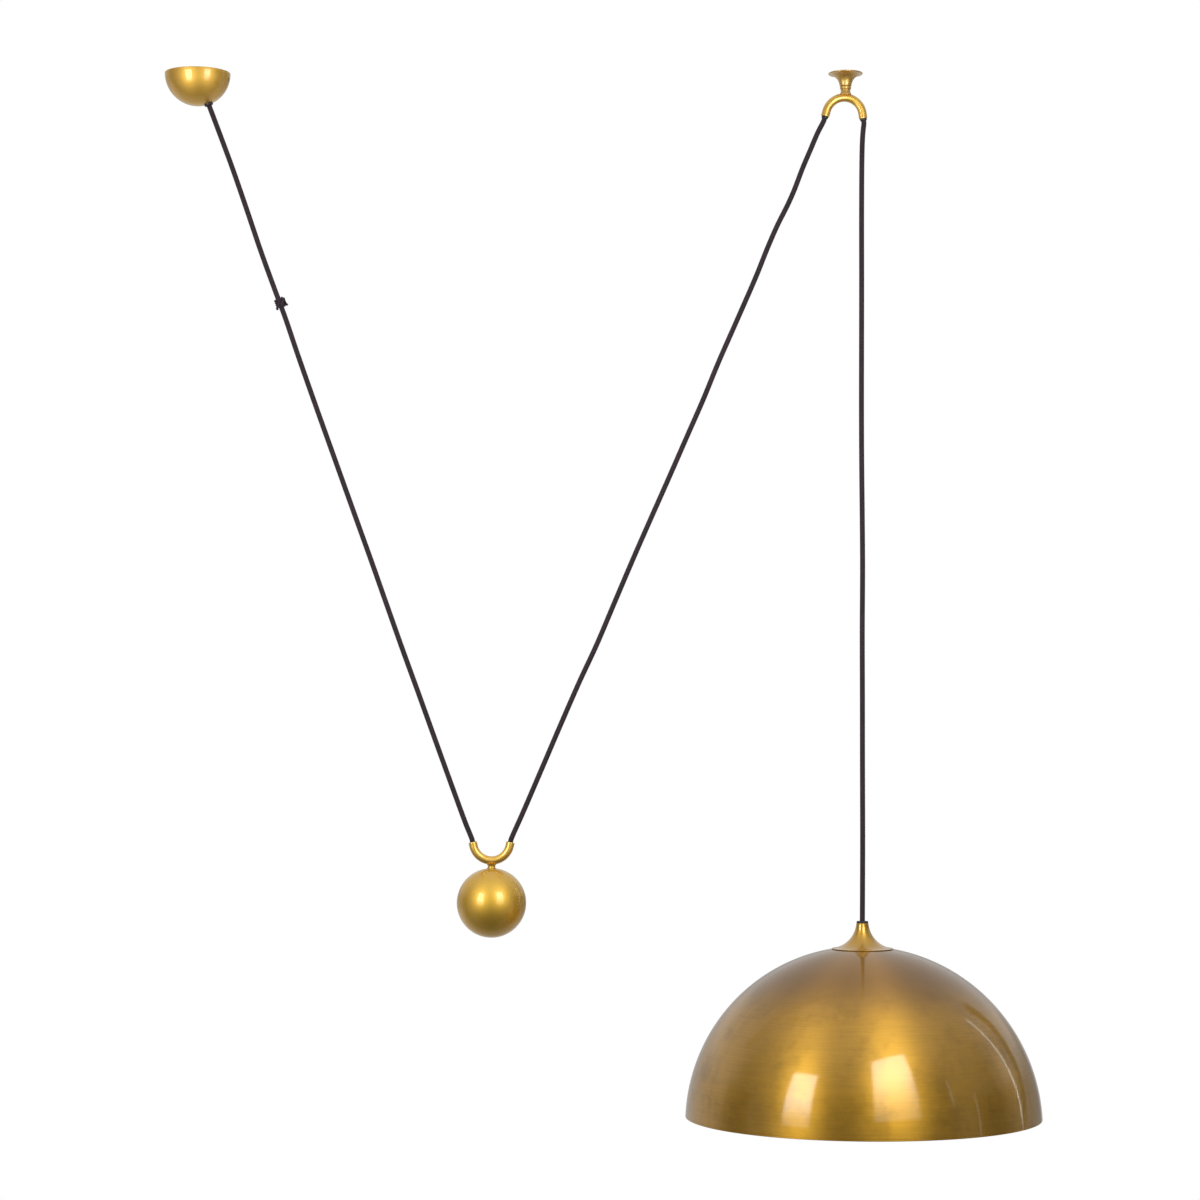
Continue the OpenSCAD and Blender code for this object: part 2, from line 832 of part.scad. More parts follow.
// Neck brazed under the tube, with a seat ring and the thread that the ball is screwed on
module counterweight_stud() {
    sink = 1.6;
    flare = 2.4;
    color(brass)
        difference() {
            translate([counterweight_x, 0, ball_top_z]) {
                translate([0, 0, -ball_seat + fit_gap])
                    cylinder(d = ball_neck_d, h = ball_neck_h + sink + ball_seat - fit_gap);
                translate([0, 0, -ball_seat + fit_gap])
                    cylinder(d = ball_collar_d, h = ball_seat + 0.6);
                translate([0, 0, ball_neck_h + sink - flare * 1.4])
                    cylinder(
                        d1 = ball_neck_d,
                        d2 = ball_neck_d + 2 * flare,
                        h = flare * 1.4
                    );
                translate([0, 0, -ball_seat - stud_l])
                    cylinder(d = stud_d, h = stud_l + 2 * fit_gap);
            }
            in_counterweight()
                bend(tube_d + 2 * fit_gap, counterweight_leg);
        }
}

module counterweight_ball() {
    color(brass)
        translate([counterweight_x, 0, ball_top_z])
            difference() {
                translate([0, 0, -ball_r])
                    sphere(r = ball_r, $fn = fine_fn);
                translate([0, 0, -ball_seat])
                    cylinder(d = ball_collar_d + 2 * loose_gap, h = ball_seat + cut);
                translate([0, 0, -ball_seat - stud_l - 2])
                    cylinder(d = stud_d + 2 * fit_gap, h = stud_l + 2 + cut);
            }
}

// ---- Shade and cap ----

// Spun dome with a folded hem; a fine groove marks the hem on the outside
module shade() {
    groove = 0.25;
    color(brass)
        in_lamp()
            rotate_extrude($fn = fine_fn)
                difference() {
                    intersection() {
                        translate([shade_hole_d / 2, -shade_h])
                            square([shade_r, shade_h]);
                        translate([0, -shade_r])
                            circle(r = shade_r, $fn = 2 * fine_fn);
                    }
                    difference() {
                        translate([0, -shade_r])
                            circle(r = shade_r - shade_wall, $fn = 2 * fine_fn);
                        translate([0, -shade_h])
                            difference() {
                                square([shade_r, hem_h]);
                                translate([0, -cut])
                                    square([rim_r(shade_h) - hem_t, hem_h + 2 * cut]);
                            }
                    }
                    translate([rim_r(shade_h - hem_h) - groove, -shade_h + hem_h])
                        square([cut, 2 * groove]);
                }
}

// Outer radius of the dome at a depth under its top
function rim_r(depth) = sqrt(pow(shade_r, 2) - pow(shade_r - depth, 2));

module shade_cap() {
    color(brass)
        in_lamp()
            rotate_extrude($fn = fine_fn)
                difference() {
                    translate([0, -cap_seat])
                        square([cap_r, cap_h]);
                    translate(cap_curve)
                        circle(r = cap_curve_r, $fn = fine_fn);
                    difference() {
                        translate([0, -cap_seat - cut])
                            square([cap_r - 2, cap_h + 2 * cut]);
                        translate(cap_curve)
                            circle(r = cap_curve_r + cap_wall, $fn = fine_fn);
                    }
                    translate([0, -shade_r])
                        circle(r = shade_r + fit_gap, $fn = 2 * fine_fn);
                }
}

// Black grip screwed on the nipple: its ring presses on the cap's neck and holds the cap down
module cord_grip() {
    color(black)
        in_lamp()
            difference() {
                union() {
                    translate([0, 0, cap_neck_z + fit_gap])
                        cylinder(d = cap_neck_d - 0.6, h = grip_ring_h - fit_gap);
                    translate([0, 0, cap_neck_z - cap_spigot_h])
                        cylinder(d = cap_spigot_d, h = cap_spigot_h + 2 * fit_gap);
                }
                translate([0, 0, cap_neck_z - cap_spigot_h - cut])
                    cylinder(d = nipple_d + 2 * fit_gap, h = cap_spigot_h + cut);
                translate([0, 0, cap_neck_z - cut])
                    cylinder(d = cord_d + 2 * loose_gap, h = grip_ring_h + 2 * cut);
            }
}

// Rubber ring that is squeezed round the cord
module grip_seal() {
    color(black)
        in_lamp()
            translate([0, 0, nipple_top + fit_gap])
                ring(nipple_d - 0.2, cord_d + 2 * fit_gap, cap_neck_z - nipple_top - 2 * fit_gap);
}

module nipple() {
    color(steel)
        in_lamp()
            translate([0, 0, -nipple_down])
                ring(nipple_d, nipple_bore, nipple_top + nipple_down);
}

module lock_nut() {
    color(steel)
        in_lamp()
            translate([0, 0, washer_t + fit_gap])
                hex_nut(lock_nut_flats, nipple_d + 2 * fit_gap, lock_nut_t);
}

module upper_washer() {
    color(steel)
        in_lamp()
            ring(upper_washer_d, nipple_d + 2 * loose_gap, washer_t);
}

module lower_washer() {
    color(steel)
        in_lamp()
            translate([0, 0, -under_shade - washer_t])
                ring(lower_washer_d, nipple_d + 2 * loose_gap, washer_t);
}

module lamp_cord_tail() {
    color(cord_black)
        in_lamp()
            translate([0, 0, -sheath_end])
                cylinder(d = cord_d, h = grip_top + sheath_end);
}

// ---- Lampholder ----

module holder_cap() {
    inner_h = holder_split - shoulder - holder_wall;
    color(brass)
        in_lamp()
            difference() {
                union() {
                    translate([0, 0, -shoulder - cut])
                        cylinder(d = boss_d, h = boss_h + cut);
                    translate([0, 0, -holder_split])
                        cylinder(d = holder_d, h = holder_split - shoulder);
                }
                translate([0, 0, -holder_split - cut])
                    cylinder(d = holder_d - 2 * holder_wall, h = inner_h + cut);
                translate([0, 0, -holder_split])
                    cylinder(d = nipple_d + 2 * fit_gap, h = holder_cap_h + cut);
                translate([0, holder_earth_y, -shoulder - holder_wall - cut])
                    cylinder(d = small_screw_d + 2 * fit_gap, h = holder_wall - 0.4 + cut);
            }
}

module holder_skirt() {
    thread_d = holder_d - 2 * holder_wall - 2 * loose_gap;
    color(brass)
        in_lamp()
            difference() {
                union() {
                    translate([0, 0, -skirt_bottom])
                        cylinder(d = holder_d, h = skirt_bottom - holder_split - loose_gap);
                    translate([0, 0, -holder_split - 2 * loose_gap])
                        cylinder(d = thread_d, h = holder_thread_h + 2 * loose_gap);
                }
                translate([0, 0, -skirt_bottom + skirt_lip_t])
                    cylinder(d = insert_d + 2 * loose_gap, h = skirt_bottom);
                translate([0, 0, -skirt_bottom - cut])
                    cylinder(d = socket_d + 2, h = skirt_lip_t + 2 * cut);
            }
}

// Ceramic body that carries the threaded shell and the contacts
module holder_insert() {
    color(ceramic)
        in_lamp()
            difference() {
                translate([0, 0, -insert_bottom])
                    cylinder(d = insert_d, h = insert_bottom - insert_top);
                translate([0, 0, -insert_bottom - cut])
                    cylinder(
                        d = socket_outer_d + 2 * fit_gap,
                        h = insert_bottom - insert_floor + cut
                    );
                for (side = [-1, 1])
                    translate([side * terminal_x, 0, -insert_floor - cut])
                        cylinder(
                            d = terminal_pin_d + 2 * loose_gap,
                            h = insert_floor - insert_top + 2 * cut
                        );
            }
}

module socket_shell() {
    color(brass)
        in_lamp()
            translate([0, 0, -socket_top - socket_depth])
                ring(socket_outer_d, socket_d, socket_depth);
}

// Sprung tongue that meets the foot of the bulb
module centre_contact() {
    t = 0.6;
    w = 6;
    tip = -contact_room + t;
    color(brass)
        in_lamp()
            translate([0, w / 2, -insert_floor - fit_gap])
                rotate([90, 0, 0])
                    linear_extrude(w)
                        polygon([
                            [-terminal_x - 1, 0], [-terminal_x - 1, -t], [-3, -t], [4, tip - t],
                            [6, tip - t], [6, tip], [4.2, tip], [-2.8, 0]
                        ]);
}

module holder_terminals() {
    color(brass)
        in_lamp()
            for (side = [-1, 1])
                translate([side * terminal_x, 0, -insert_top + fit_gap])
                    difference() {
                        union() {
                            translate([-terminal[0] / 2, -terminal[1] / 2, 0])
                                cube(terminal);
                            translate([0, 0, -insert_floor + insert_top])
                                cylinder(d = terminal_pin_d, h = insert_floor - insert_top + cut);
                        }
                        translate([-side * terminal[0], 0, terminal[2] / 2])
                            rotate([0, side * 90, 0])
                                cylinder(d = core_d + 2 * loose_gap, h = terminal[0]);
                        translate([0, 0, terminal[2] / 2])
                            cylinder(d = small_screw_d, h = terminal[2]);
                    }
}

module holder_terminal_screws() {
    base = terminal_z + core_r + 2 * loose_gap;
    h = 2.4;
    color(steel)
        in_lamp()
            for (side = [-1, 1])
                translate([side * terminal_x, 0, base])
                    difference() {
                        cylinder(d = small_screw_d - 2 * fit_gap, h = h);
                        translate([-small_screw_d, -0.3, h - 0.7])
                            cube([2 * small_screw_d, 0.6, cut]);
                    }
}

module holder_earth_screw() {
    wire_room = 0.4;
    color(steel)
        in_lamp()
            translate([0, holder_earth_y, -shoulder - holder_wall - wire_room - small_head_h])
                difference() {
                    union() {
                        cylinder(d = small_head_d, h = small_head_h);
                        cylinder(d = small_screw_d, h = small_head_h + wire_room + holder_wall - 0.5);
                    }
                    translate([-small_head_d, -0.4, -cut])
                        cube([2 * small_head_d, 0.8, cut + 0.8]);
                }
}

function lamp_sheath_point(i) = [core_at(i)[0], core_at(i)[1], -sheath_end - fit_gap];

module terminal_core(i, side, colour) {
    straight = 1;
    entry = [side * (terminal_face - straight), 0, terminal_z];
    in_lamp()
        core(
            lamp_sheath_point(i), [0, 0, -1], 3, entry, [side, 0, 0], 3,
            straight + terminal[0] / 2 - 0.2, colour
        );
}

module lamp_live_core() {
    terminal_core(0, 1, brown);
}

module lamp_neutral_core() {
    terminal_core(1, -1, blue);
}

module lamp_earth_core() {
    straight = 1;
    entry = [0, holder_earth_y + small_head_d / 2 + straight, -shoulder - holder_wall - 1.7];
    in_lamp()
        core(
            lamp_sheath_point(2), [0, 0, -1], cord_d - 2.4, entry, [0, -1, 0], 4,
            straight, green, [1, 0, 0]
        );
}

canopy();
ceiling_strap();
side_screws();
canopy_bush();
canopy_bush_nut();
canopy_cord_tie();
canopy_cord_tail();
terminal_block();
terminal_tubes();
terminal_screws();
block_screw();
strap_earth_screw();
canopy_live_core();
canopy_neutral_core();
canopy_earth_core();
hook_trumpet();
hook_stem();
hook_tube();
hook_liner();
cord_in_hook();
cord_left_run();
cord_knot();
cord_right_run();
cord_drop_run();
counterweight_tube();
counterweight_liner();
cord_in_counterweight();
counterweight_stud();
counterweight_ball();
shade();
shade_cap();
cord_grip();
grip_seal();
nipple();
lock_nut();
upper_washer();
lower_washer();
lamp_cord_tail();
holder_cap();
holder_skirt();
holder_insert();
socket_shell();
centre_contact();
holder_terminals();
holder_terminal_screws();
holder_earth_screw();
lamp_live_core();
lamp_neutral_core();
lamp_earth_core();
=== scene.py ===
"""Rise and fall pendant: the pieces that show, their finishes, and the studio round them."""
import math

import bmesh
import bpy
from mathutils import Matrix, Vector


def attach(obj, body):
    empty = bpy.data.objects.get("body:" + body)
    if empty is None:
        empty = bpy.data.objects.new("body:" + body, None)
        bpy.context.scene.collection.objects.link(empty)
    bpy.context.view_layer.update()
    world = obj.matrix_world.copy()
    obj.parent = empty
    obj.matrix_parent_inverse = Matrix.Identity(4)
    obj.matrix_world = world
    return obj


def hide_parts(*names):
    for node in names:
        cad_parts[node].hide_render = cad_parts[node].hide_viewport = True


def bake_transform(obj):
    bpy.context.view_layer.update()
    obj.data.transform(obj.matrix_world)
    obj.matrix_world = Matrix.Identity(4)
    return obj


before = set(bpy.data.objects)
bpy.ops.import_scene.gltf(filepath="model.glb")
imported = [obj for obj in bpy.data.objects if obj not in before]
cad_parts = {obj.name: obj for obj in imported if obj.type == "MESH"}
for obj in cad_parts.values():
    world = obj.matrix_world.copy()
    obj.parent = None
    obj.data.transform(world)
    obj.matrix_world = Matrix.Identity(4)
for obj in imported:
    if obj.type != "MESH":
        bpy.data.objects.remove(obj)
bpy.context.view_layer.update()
scene = bpy.context.scene
MM = 0.001


# ---- Camera ----
# One camera without shift, a little below the middle of the pendant and looking slightly up.
# Its focal length and its tilt are in pixels of the 1200 pixel wide picture.

PICTURE_W, FOCAL_PX, TILT_PX, SENSOR_MM = 1200, 3000, 120, 36
camera = bpy.data.objects.new("camera", bpy.data.cameras.new("camera"))
camera.data.sensor_width = SENSOR_MM
camera.data.lens = SENSOR_MM * FOCAL_PX / PICTURE_W
camera.data.clip_start, camera.data.clip_end = 0.1, 60
camera.location = (0.5046, -3.7332, -0.8105)
camera.rotation_euler = (math.radians(90) + math.atan2(TILT_PX, FOCAL_PX), 0, 0)
scene.collection.objects.link(camera)
scene.camera = camera


# ---- Cord ----
# One length of three-core flex in a braided textile sleeve, black with a purple-brown tint.
# It runs canopy, counterweight, hook, lamp. Its free runs are pulled taut and keep the small
# waves that they had on the reel: a sway is a share of the way and how far off it, in mm.

CORD_D = 6.4 * MM
HOOK_X, WEIGHT_X = 812.5, 370
LEFT_SWAY = [
    (.08, 1), (.14, .5), (.2, -.5), (.25, -.3), (.29, .2), (.34, -.6), (.41, -1), (.48, -1),
    (.55, -1), (.62, -.9), (.68, -1.2), (.74, -1.4), (.8, -1.1), (.87, -1), (.93, -.8),
    (.975, -.4),
]
RIGHT_SWAY = [
    (.02, -.6), (.045, -.5), (.07, -.3), (.1, 1), (.12, .8), (.15, -.8), (.18, -.9), (.22, .2),
    (.28, .1), (.34, -.2), (.39, .8), (.44, .6), (.5, .4), (.56, -.1), (.61, -.3), (.67, .1),
    (.73, .6), (.78, -.7), (.84, -.9), (.9, -.6), (.96, -.4),
]
DROP_SWAY = [
    (.012, -.5), (.025, -1.4), (.05, -2), (.12, -2.3), (.2, -2.1), (.28, -2.1), (.36, -2.1),
    (.43, -1.7), (.5, -.9), (.56, -.4), (.64, -.7), (.72, -.4), (.8, -.2), (.9, .2), (.96, .1),
]
CORD_EXIT, BUSH_END, CANOPY_SHEATH_END = 19.7, 43.2, 27.46
BEND_R, TUBE_R, MOUTH_ANGLE = 23, 5.25, 12
BEND_HALF = math.radians(90 - MOUTH_ANGLE)
HOOK_LEG, WEIGHT_LEG, LINER_OUT = 7.2, 4.6, 2.5
HOOK_TOP, HOOK_LEAN = -25.5, 3.5
WEIGHT_MOUTH_Z = -962
LAMP_X, APEX_Z = 829.987, -1091
GRIP_TOP, LAMP_SHEATH_END = 31.35, -12.97


def down(degrees):
    """Direction in the upright plane of the cords, at an angle from straight down towards +X."""
    return Vector((math.sin(math.radians(degrees)), 0, -math.cos(math.radians(degrees))))


def bend_line(leg, steps=48):
    """Middle line of a bent tube, its top at +Z and its bend's centre at the origin, in mm."""
    arc = [-BEND_HALF + 2 * BEND_HALF * i / steps for i in range(steps + 1)]
    line = [Vector((BEND_R * math.sin(a), 0, BEND_R * math.cos(a))) for a in arc]
    out = Vector((math.cos(BEND_HALF), 0, -math.sin(BEND_HALF))) * leg
    return [line[0] + Vector((-out.x, 0, out.z))] + line + [line[-1] + out]


WEIGHT_BEND_Z = WEIGHT_MOUTH_Z + bend_line(WEIGHT_LEG)[0].z


def on_hook(points):
    """A bent tube's own line, hung under the hook's stem."""
    lean = Matrix.Rotation(math.radians(HOOK_LEAN), 3, "Y")
    top = Vector((HOOK_X, 0, HOOK_TOP))
    return [top + lean @ (p - Vector((0, 0, BEND_R + TUBE_R))) for p in points]


def on_weight(points):
    """A bent tube's own line, turned over on the counterweight."""
    return [Vector((WEIGHT_X + p.x, 0, WEIGHT_BEND_Z - p.z)) for p in points]


def smoothed(points, step):
    """Points about a step apart on a smooth curve through the given points."""
    line = []
    ends = [2 * points[0] - points[1]] + points + [2 * points[-1] - points[-2]]
    for a, b, c, d in zip(ends, ends[1:], ends[2:], ends[3:]):
        knots = [0.0]
        for p, q in ((a, b), (b, c), (c, d)):
            knots.append(knots[-1] + math.sqrt((q - p).length))
        k0, k1, k2, k3 = knots
        count = max(1, round((c - b).length / step))
        for i in range(count):
            t = k1 + (k2 - k1) * i / count
            ab = a.lerp(b, (t - k0) / (k1 - k0))
            bc = b.lerp(c, (t - k1) / (k2 - k1))
            cd = c.lerp(d, (t - k2) / (k3 - k2))
            abc = ab.lerp(bc, (t - k0) / (k2 - k0))
            bcd = bc.lerp(cd, (t - k1) / (k3 - k1))
            line.append(abc.lerp(bcd, (t - k1) / (k2 - k1)))
    return line + [points[-1]]


def run_line(start, start_dir, end, end_dir, sway, stub=3, step=3):
    """A run of cord in metres: square stubs at both mouths and the sway between them."""
    way = end - start
    right = Vector((-way.z, 0, way.x)) / way.length
    points = [start, start + stub * start_dir]
    points += [start + share * way + off * right for share, off in sway]
    points += [end + stub * end_dir, end]
    return [p * MM for p in smoothed(points, step)]


def marks_along(line):
    """How far along a line each of its points is."""
    marks = [0.0]
    for a, b in zip(line, line[1:]):
        marks.append(marks[-1] + (b - a).length)
    return marks


def mesh_piece(name, verts, faces, material, uvs=None, sharp=35):
    """A smooth-shaded mesh object at the origin; uvs gives one pair for each face corner."""
    mesh = bpy.data.meshes.new(name)
    mesh.from_pydata([tuple(v) for v in verts], [], faces)
    if uvs:
        layer = mesh.uv_layers.new(name="along")
        for loop, uv in zip(layer.data, uvs):
            loop.uv = uv
    mesh.shade_smooth()
    mesh.set_sharp_from_angle(angle=math.radians(sharp))
    mesh.materials.append(material)
    piece = bpy.data.objects.new(name, mesh)
    scene.collection.objects.link(piece)
    return piece


def along(line, skin, sides):
    """Rings along a line for a skin of (distance along it, radius) pairs."""
    marks = marks_along(line)
    ways = [(b - a).normalized() for a, b in zip(line, line[1:])]
    turns = [ways[0]] + [(a + b).normalized() for a, b in zip(ways, ways[1:])] + [ways[-1]]
    side = turns[0].cross(Vector((0, 1, 0)) if abs(turns[0].y) < 0.9 else Vector((1, 0, 0)))
    sides_at = []
    for turn in turns:
        side = (side - side.dot(turn) * turn).normalized()
        sides_at.append(side)
    rings, seat = [], 0
    for reach, radius in skin:
        reach = min(max(reach, 0.0), marks[-1])
        while seat > 0 and marks[seat] > reach:
            seat -= 1
        while seat < len(line) - 2 and marks[seat + 1] < reach:
            seat += 1
        share = (reach - marks[seat]) / (marks[seat + 1] - marks[seat])
        middle = line[seat].lerp(line[seat + 1], share)
        way = turns[seat].lerp(turns[seat + 1], share).normalized()
        side = sides_at[seat].lerp(sides_at[seat + 1], share)
        side = (side - side.dot(way) * way).normalized()
        front = way.cross(side)
        rings.append([
            middle + radius * (math.cos(a) * side + math.sin(a) * front)
            for a in (2 * math.pi * k / sides for k in range(sides))
        ])
    return rings


def cord_piece(name, line, material, diameter=CORD_D, sides=20):
    """A round cord with closed ends; its UV map is metres along and turns round."""
    marks = marks_along(line)
    rings = along(line, [(m, diameter / 2) for m in marks], sides)
    verts = [p for ring in rings for p in ring]
    faces, uvs = [], []
    for i in range(len(rings) - 1):
        for k in range(sides):
            j = (k + 1) % sides
            faces.append((i * sides + k, i * sides + j, (i + 1) * sides + j, (i + 1) * sides + k))
            uvs += [
                (marks[i], k / sides), (marks[i], (k + 1) / sides),
                (marks[i + 1], (k + 1) / sides), (marks[i + 1], k / sides),
            ]
    last = (len(rings) - 1) * sides
    faces += [tuple(range(sides - 1, -1, -1)), tuple(last + k for k in range(sides))]
    uvs += [(end, k / sides) for end in (marks[0], marks[-1]) for k in range(sides)]
    return mesh_piece(name, verts, faces, material, uvs, sharp=60)


class Value:
    """A socket of a finish; arithmetic on it adds the Math nodes."""

    def __init__(self, finish, socket):
        self.finish, self.socket = finish, socket

    def _math(self, how, *terms):
        return self.finish.add("ShaderNodeMath", {"operation": how}, *terms)

    def __add__(self, other):
        return self._math("ADD", self, other)

    def __sub__(self, other):
        return self._math("SUBTRACT", self, other)

    def __rsub__(self, other):
        return self._math("SUBTRACT", other, self)

    def __mul__(self, other):
        return self._math("MULTIPLY", self, other)

    def __truediv__(self, other):
        return self._math("DIVIDE", self, other)

    def __pow__(self, other):
        return self._math("POWER", self, other)

    __radd__, __rmul__ = __add__, __mul__

    def sine(self):
        return self._math("SINE", self)

    def over(self, low, high):
        """0 below low, 1 above high, smooth between."""
        settings = {"interpolation_type": "SMOOTHSTEP"}
        return self.finish.add("ShaderNodeMapRange", settings, self, low, high)


class Tree:
    """A node tree in the making."""

    def __init__(self, tree):
        self.tree = tree

    def join(self, node, values, named):
        for key, value in [*enumerate(values), *named.items()]:
            socket = node.inputs[key if isinstance(key, int) else key.replace("_", " ")]
            if isinstance(value, Value):
                self.tree.links.new(value.socket, socket)
            else:
                socket.default_value = value

    def add(self, kind, settings, *values, out=0, **named):
        node = self.tree.nodes.new(kind)
        for key, value in settings.items():
            setattr(node, key, value)
        self.join(node, values, named)
        return Value(self, node.outputs[out])

    def parts(self, vector):
        split = self.add("ShaderNodeSeparateXYZ", {}, vector).socket.node
        return [Value(self, output) for output in split.outputs]

    def noise(self, where, scale, detail=3.0, rough=0.5, **more):
        settings = {"noise_dimensions": "4D"} if more else {}
        return self.add(
            "ShaderNodeTexNoise", settings, Vector=where, Scale=scale, Detail=detail,
            Roughness=rough, **more,
        )

    def blend(self, share, low, high):
        """A colour between two colours."""
        low, high = ((*c, 1) if isinstance(c, tuple) else c for c in (low, high))
        node = self.tree.nodes.new("ShaderNodeMix")
        node.data_type = "RGBA"
        for place, value in ((0, share), (6, low), (7, high)):
            if isinstance(value, Value):
                self.tree.links.new(value.socket, node.inputs[place])
            else:
                node.inputs[place].default_value = value
        return Value(self, node.outputs[2])


class Finish(Tree):
    """A finish of the pendant: a material with one surface shader."""

    def __init__(self, name, **surface):
        self.material = bpy.data.materials.new(name)
        self.material.use_nodes = True
        super().__init__(self.material.node_tree)
        self.surface = self.tree.nodes["Principled BSDF"]
        self.set(**surface)

    def set(self, **named):
        self.join(self.surface, (), named)

    def place(self, x=0.0, y=0.0, z=0.0):
        """Object coordinates, counted from a point in the row frame."""
        whole = self.add("ShaderNodeTexCoord", {}, out=3)
        return self.add("ShaderNodeVectorMath", {"operation": "SUBTRACT"}, whole, (x, y, z))

    def bump(self, height, depth, strength):
        raised = self.add("ShaderNodeBump", {}, Height=height, Distance=depth, Strength=strength)
        self.set(Normal=raised)


def textile(name, strands=16, pitch=0.0125):
    """Braided sleeve: two sets of yarns that wind opposite ways, over and under each other."""
    f = Finish(name, Metallic=0.0, Sheen_Weight=0.05, Sheen_Roughness=0.4, Specular_IOR_Level=0.3)
    uv = f.add("ShaderNodeUVMap", {"uv_map": "along"})
    length, turn, _ = f.parts(uv)
    lift = length * (math.pi * strands / pitch)
    spin = turn * (math.pi * strands)
    one, two = (spin + lift).sine(), (spin - lift).sine()
    over = (one * two).over(-0.5, 0.5)
    yarn = (1 - (one * one)) * over + (1 - (two * two)) * (1 - over)
    fuzz = f.noise(f.place(), 2600, 2.0)
    tint = f.noise(f.place(), 55, 3.0).over(0.35, 0.65)
    # Painted shade and highlight: the yarns' crowns get the lighter colours and the gaps between
    # yarns the darker ones.
    deep = f.blend(tint, (0.010, 0.007, 0.009), (0.015, 0.008, 0.012))
    lit = f.blend(tint, (0.042, 0.028, 0.038), (0.055, 0.033, 0.047))
    f.set(Base_Color=f.blend(yarn * 0.8 + fuzz * 0.25, deep, lit), Roughness=0.78 - yarn * 0.16)
    f.bump(yarn * 0.8 + fuzz * 0.3, 0.00035, 0.7)
    return f.material


TEXTILE = textile("braided_textile")
exit_way = down(CORD_EXIT)
canopy_mouth = BUSH_END * exit_way
hook_line = on_hook(bend_line(HOOK_LEG + LINER_OUT))
weight_line = on_weight(bend_line(WEIGHT_LEG))
grip_mouth = Vector((LAMP_X, 0, APEX_Z + GRIP_TOP))
left_line = run_line(canopy_mouth, exit_way, weight_line[0], -down(MOUTH_ANGLE), LEFT_SWAY)
right_line = run_line(
    hook_line[0], down(-MOUTH_ANGLE - HOOK_LEAN), weight_line[-1], -down(-MOUTH_ANGLE), RIGHT_SWAY
)
drop_line = run_line(
    hook_line[-1], down(MOUTH_ANGLE - HOOK_LEAN), grip_mouth, Vector((0, 0, 1)), DROP_SWAY
)


# ---- Stop knot ----
# A thinner cord, wound four times round the flex and tied off at its right, so that the flex
# can't run up into the counterweight's tube past it. Its two ends are cut short.

KNOT_AT, KNOT_SWAY, STRAND, TURNS = 0.27, -0.05, 2.8, 4
LOOSE_STRAND = STRAND * 1.08
THREAD = textile("knotted_thread", strands=6, pitch=0.009)
knot_way = (weight_line[0] - canopy_mouth).normalized()
knot_right = Vector((-knot_way.z, 0, knot_way.x))
knot_seat = canopy_mouth + KNOT_AT * (weight_line[0] - canopy_mouth) + KNOT_SWAY * knot_right
knot_turn_r = CORD_D / MM / 2 + 0.1 + STRAND / 2


def in_knot(right, front, along_cord):
    """A point by its distances to the right of the flex, towards the front and down along it."""
    spot = knot_seat + right * knot_right + front * Vector((0, -1, 0))
    return (spot + along_cord * knot_way) * MM


def wound(name, sizes, material):
    """Turns of a thin cord, as a mesh about +Z; its UV map is metres along and turns round."""
    group = bpy.data.node_groups.new(name, "GeometryNodeTree")
    g = Tree(group)
    group.interface.new_socket("Geometry", in_out="OUTPUT", socket_type="NodeSocketGeometry")
    inputs = {
        size: group.interface.new_socket(size, in_out="INPUT", socket_type="NodeSocketFloat")
        for size in sizes
    }
    given = group.nodes.new("NodeGroupInput")
    size = {label: Value(g, given.outputs[label]) for label in sizes}
    spiral = g.add(
        "GeometryNodeCurveSpiral", {}, Resolution=36, Rotations=size["Turns"],
        Start_Radius=size["Turn radius"], End_Radius=size["Turn radius"], Height=size["Height"],
    )
    strand = g.add(
        "GeometryNodeCurvePrimitiveCircle", {}, Resolution=14, Radius=size["Strand radius"]
    )
    shapes, reaches = [], []
    for shape, measure in ((spiral, "Length"), (strand, "Factor")):
        keep = group.nodes.new("GeometryNodeCaptureAttribute")
        keep.capture_items.new("FLOAT", "Reach")
        g.join(keep, (shape, g.add("GeometryNodeSplineParameter", {}, out=measure)), {})
        shapes.append(Value(g, keep.outputs[0]))
        reaches.append(Value(g, keep.outputs[1]))
    tube = g.add(
        "GeometryNodeCurveToMesh", {}, Curve=shapes[0], Profile_Curve=shapes[1], Fill_Caps=True
    )
    uv = g.add("ShaderNodeCombineXYZ", {}, *reaches)
    named = g.add(
        "GeometryNodeStoreNamedAttribute", {"data_type": "FLOAT2", "domain": "CORNER"},
        Geometry=tube, Name="along", Value=uv,
    )
    whole = g.add("GeometryNodeRealizeInstances", {}, named)
    finished = g.add("GeometryNodeSetMaterial", {}, whole, Material=material)
    g.join(group.nodes.new("NodeGroupOutput"), (finished,), {})

    piece = mesh_piece(name, [], [], material)
    maker = piece.modifiers.new("wound", "NODES")
    maker.node_group = group
    for label, value in sizes.items():
        maker[inputs[label].identifier] = value
    bpy.context.view_layer.update()
    made = bpy.data.meshes.new_from_object(
        piece.evaluated_get(bpy.context.evaluated_depsgraph_get())
    )
    piece.modifiers.clear()
    piece.data = made
    return piece


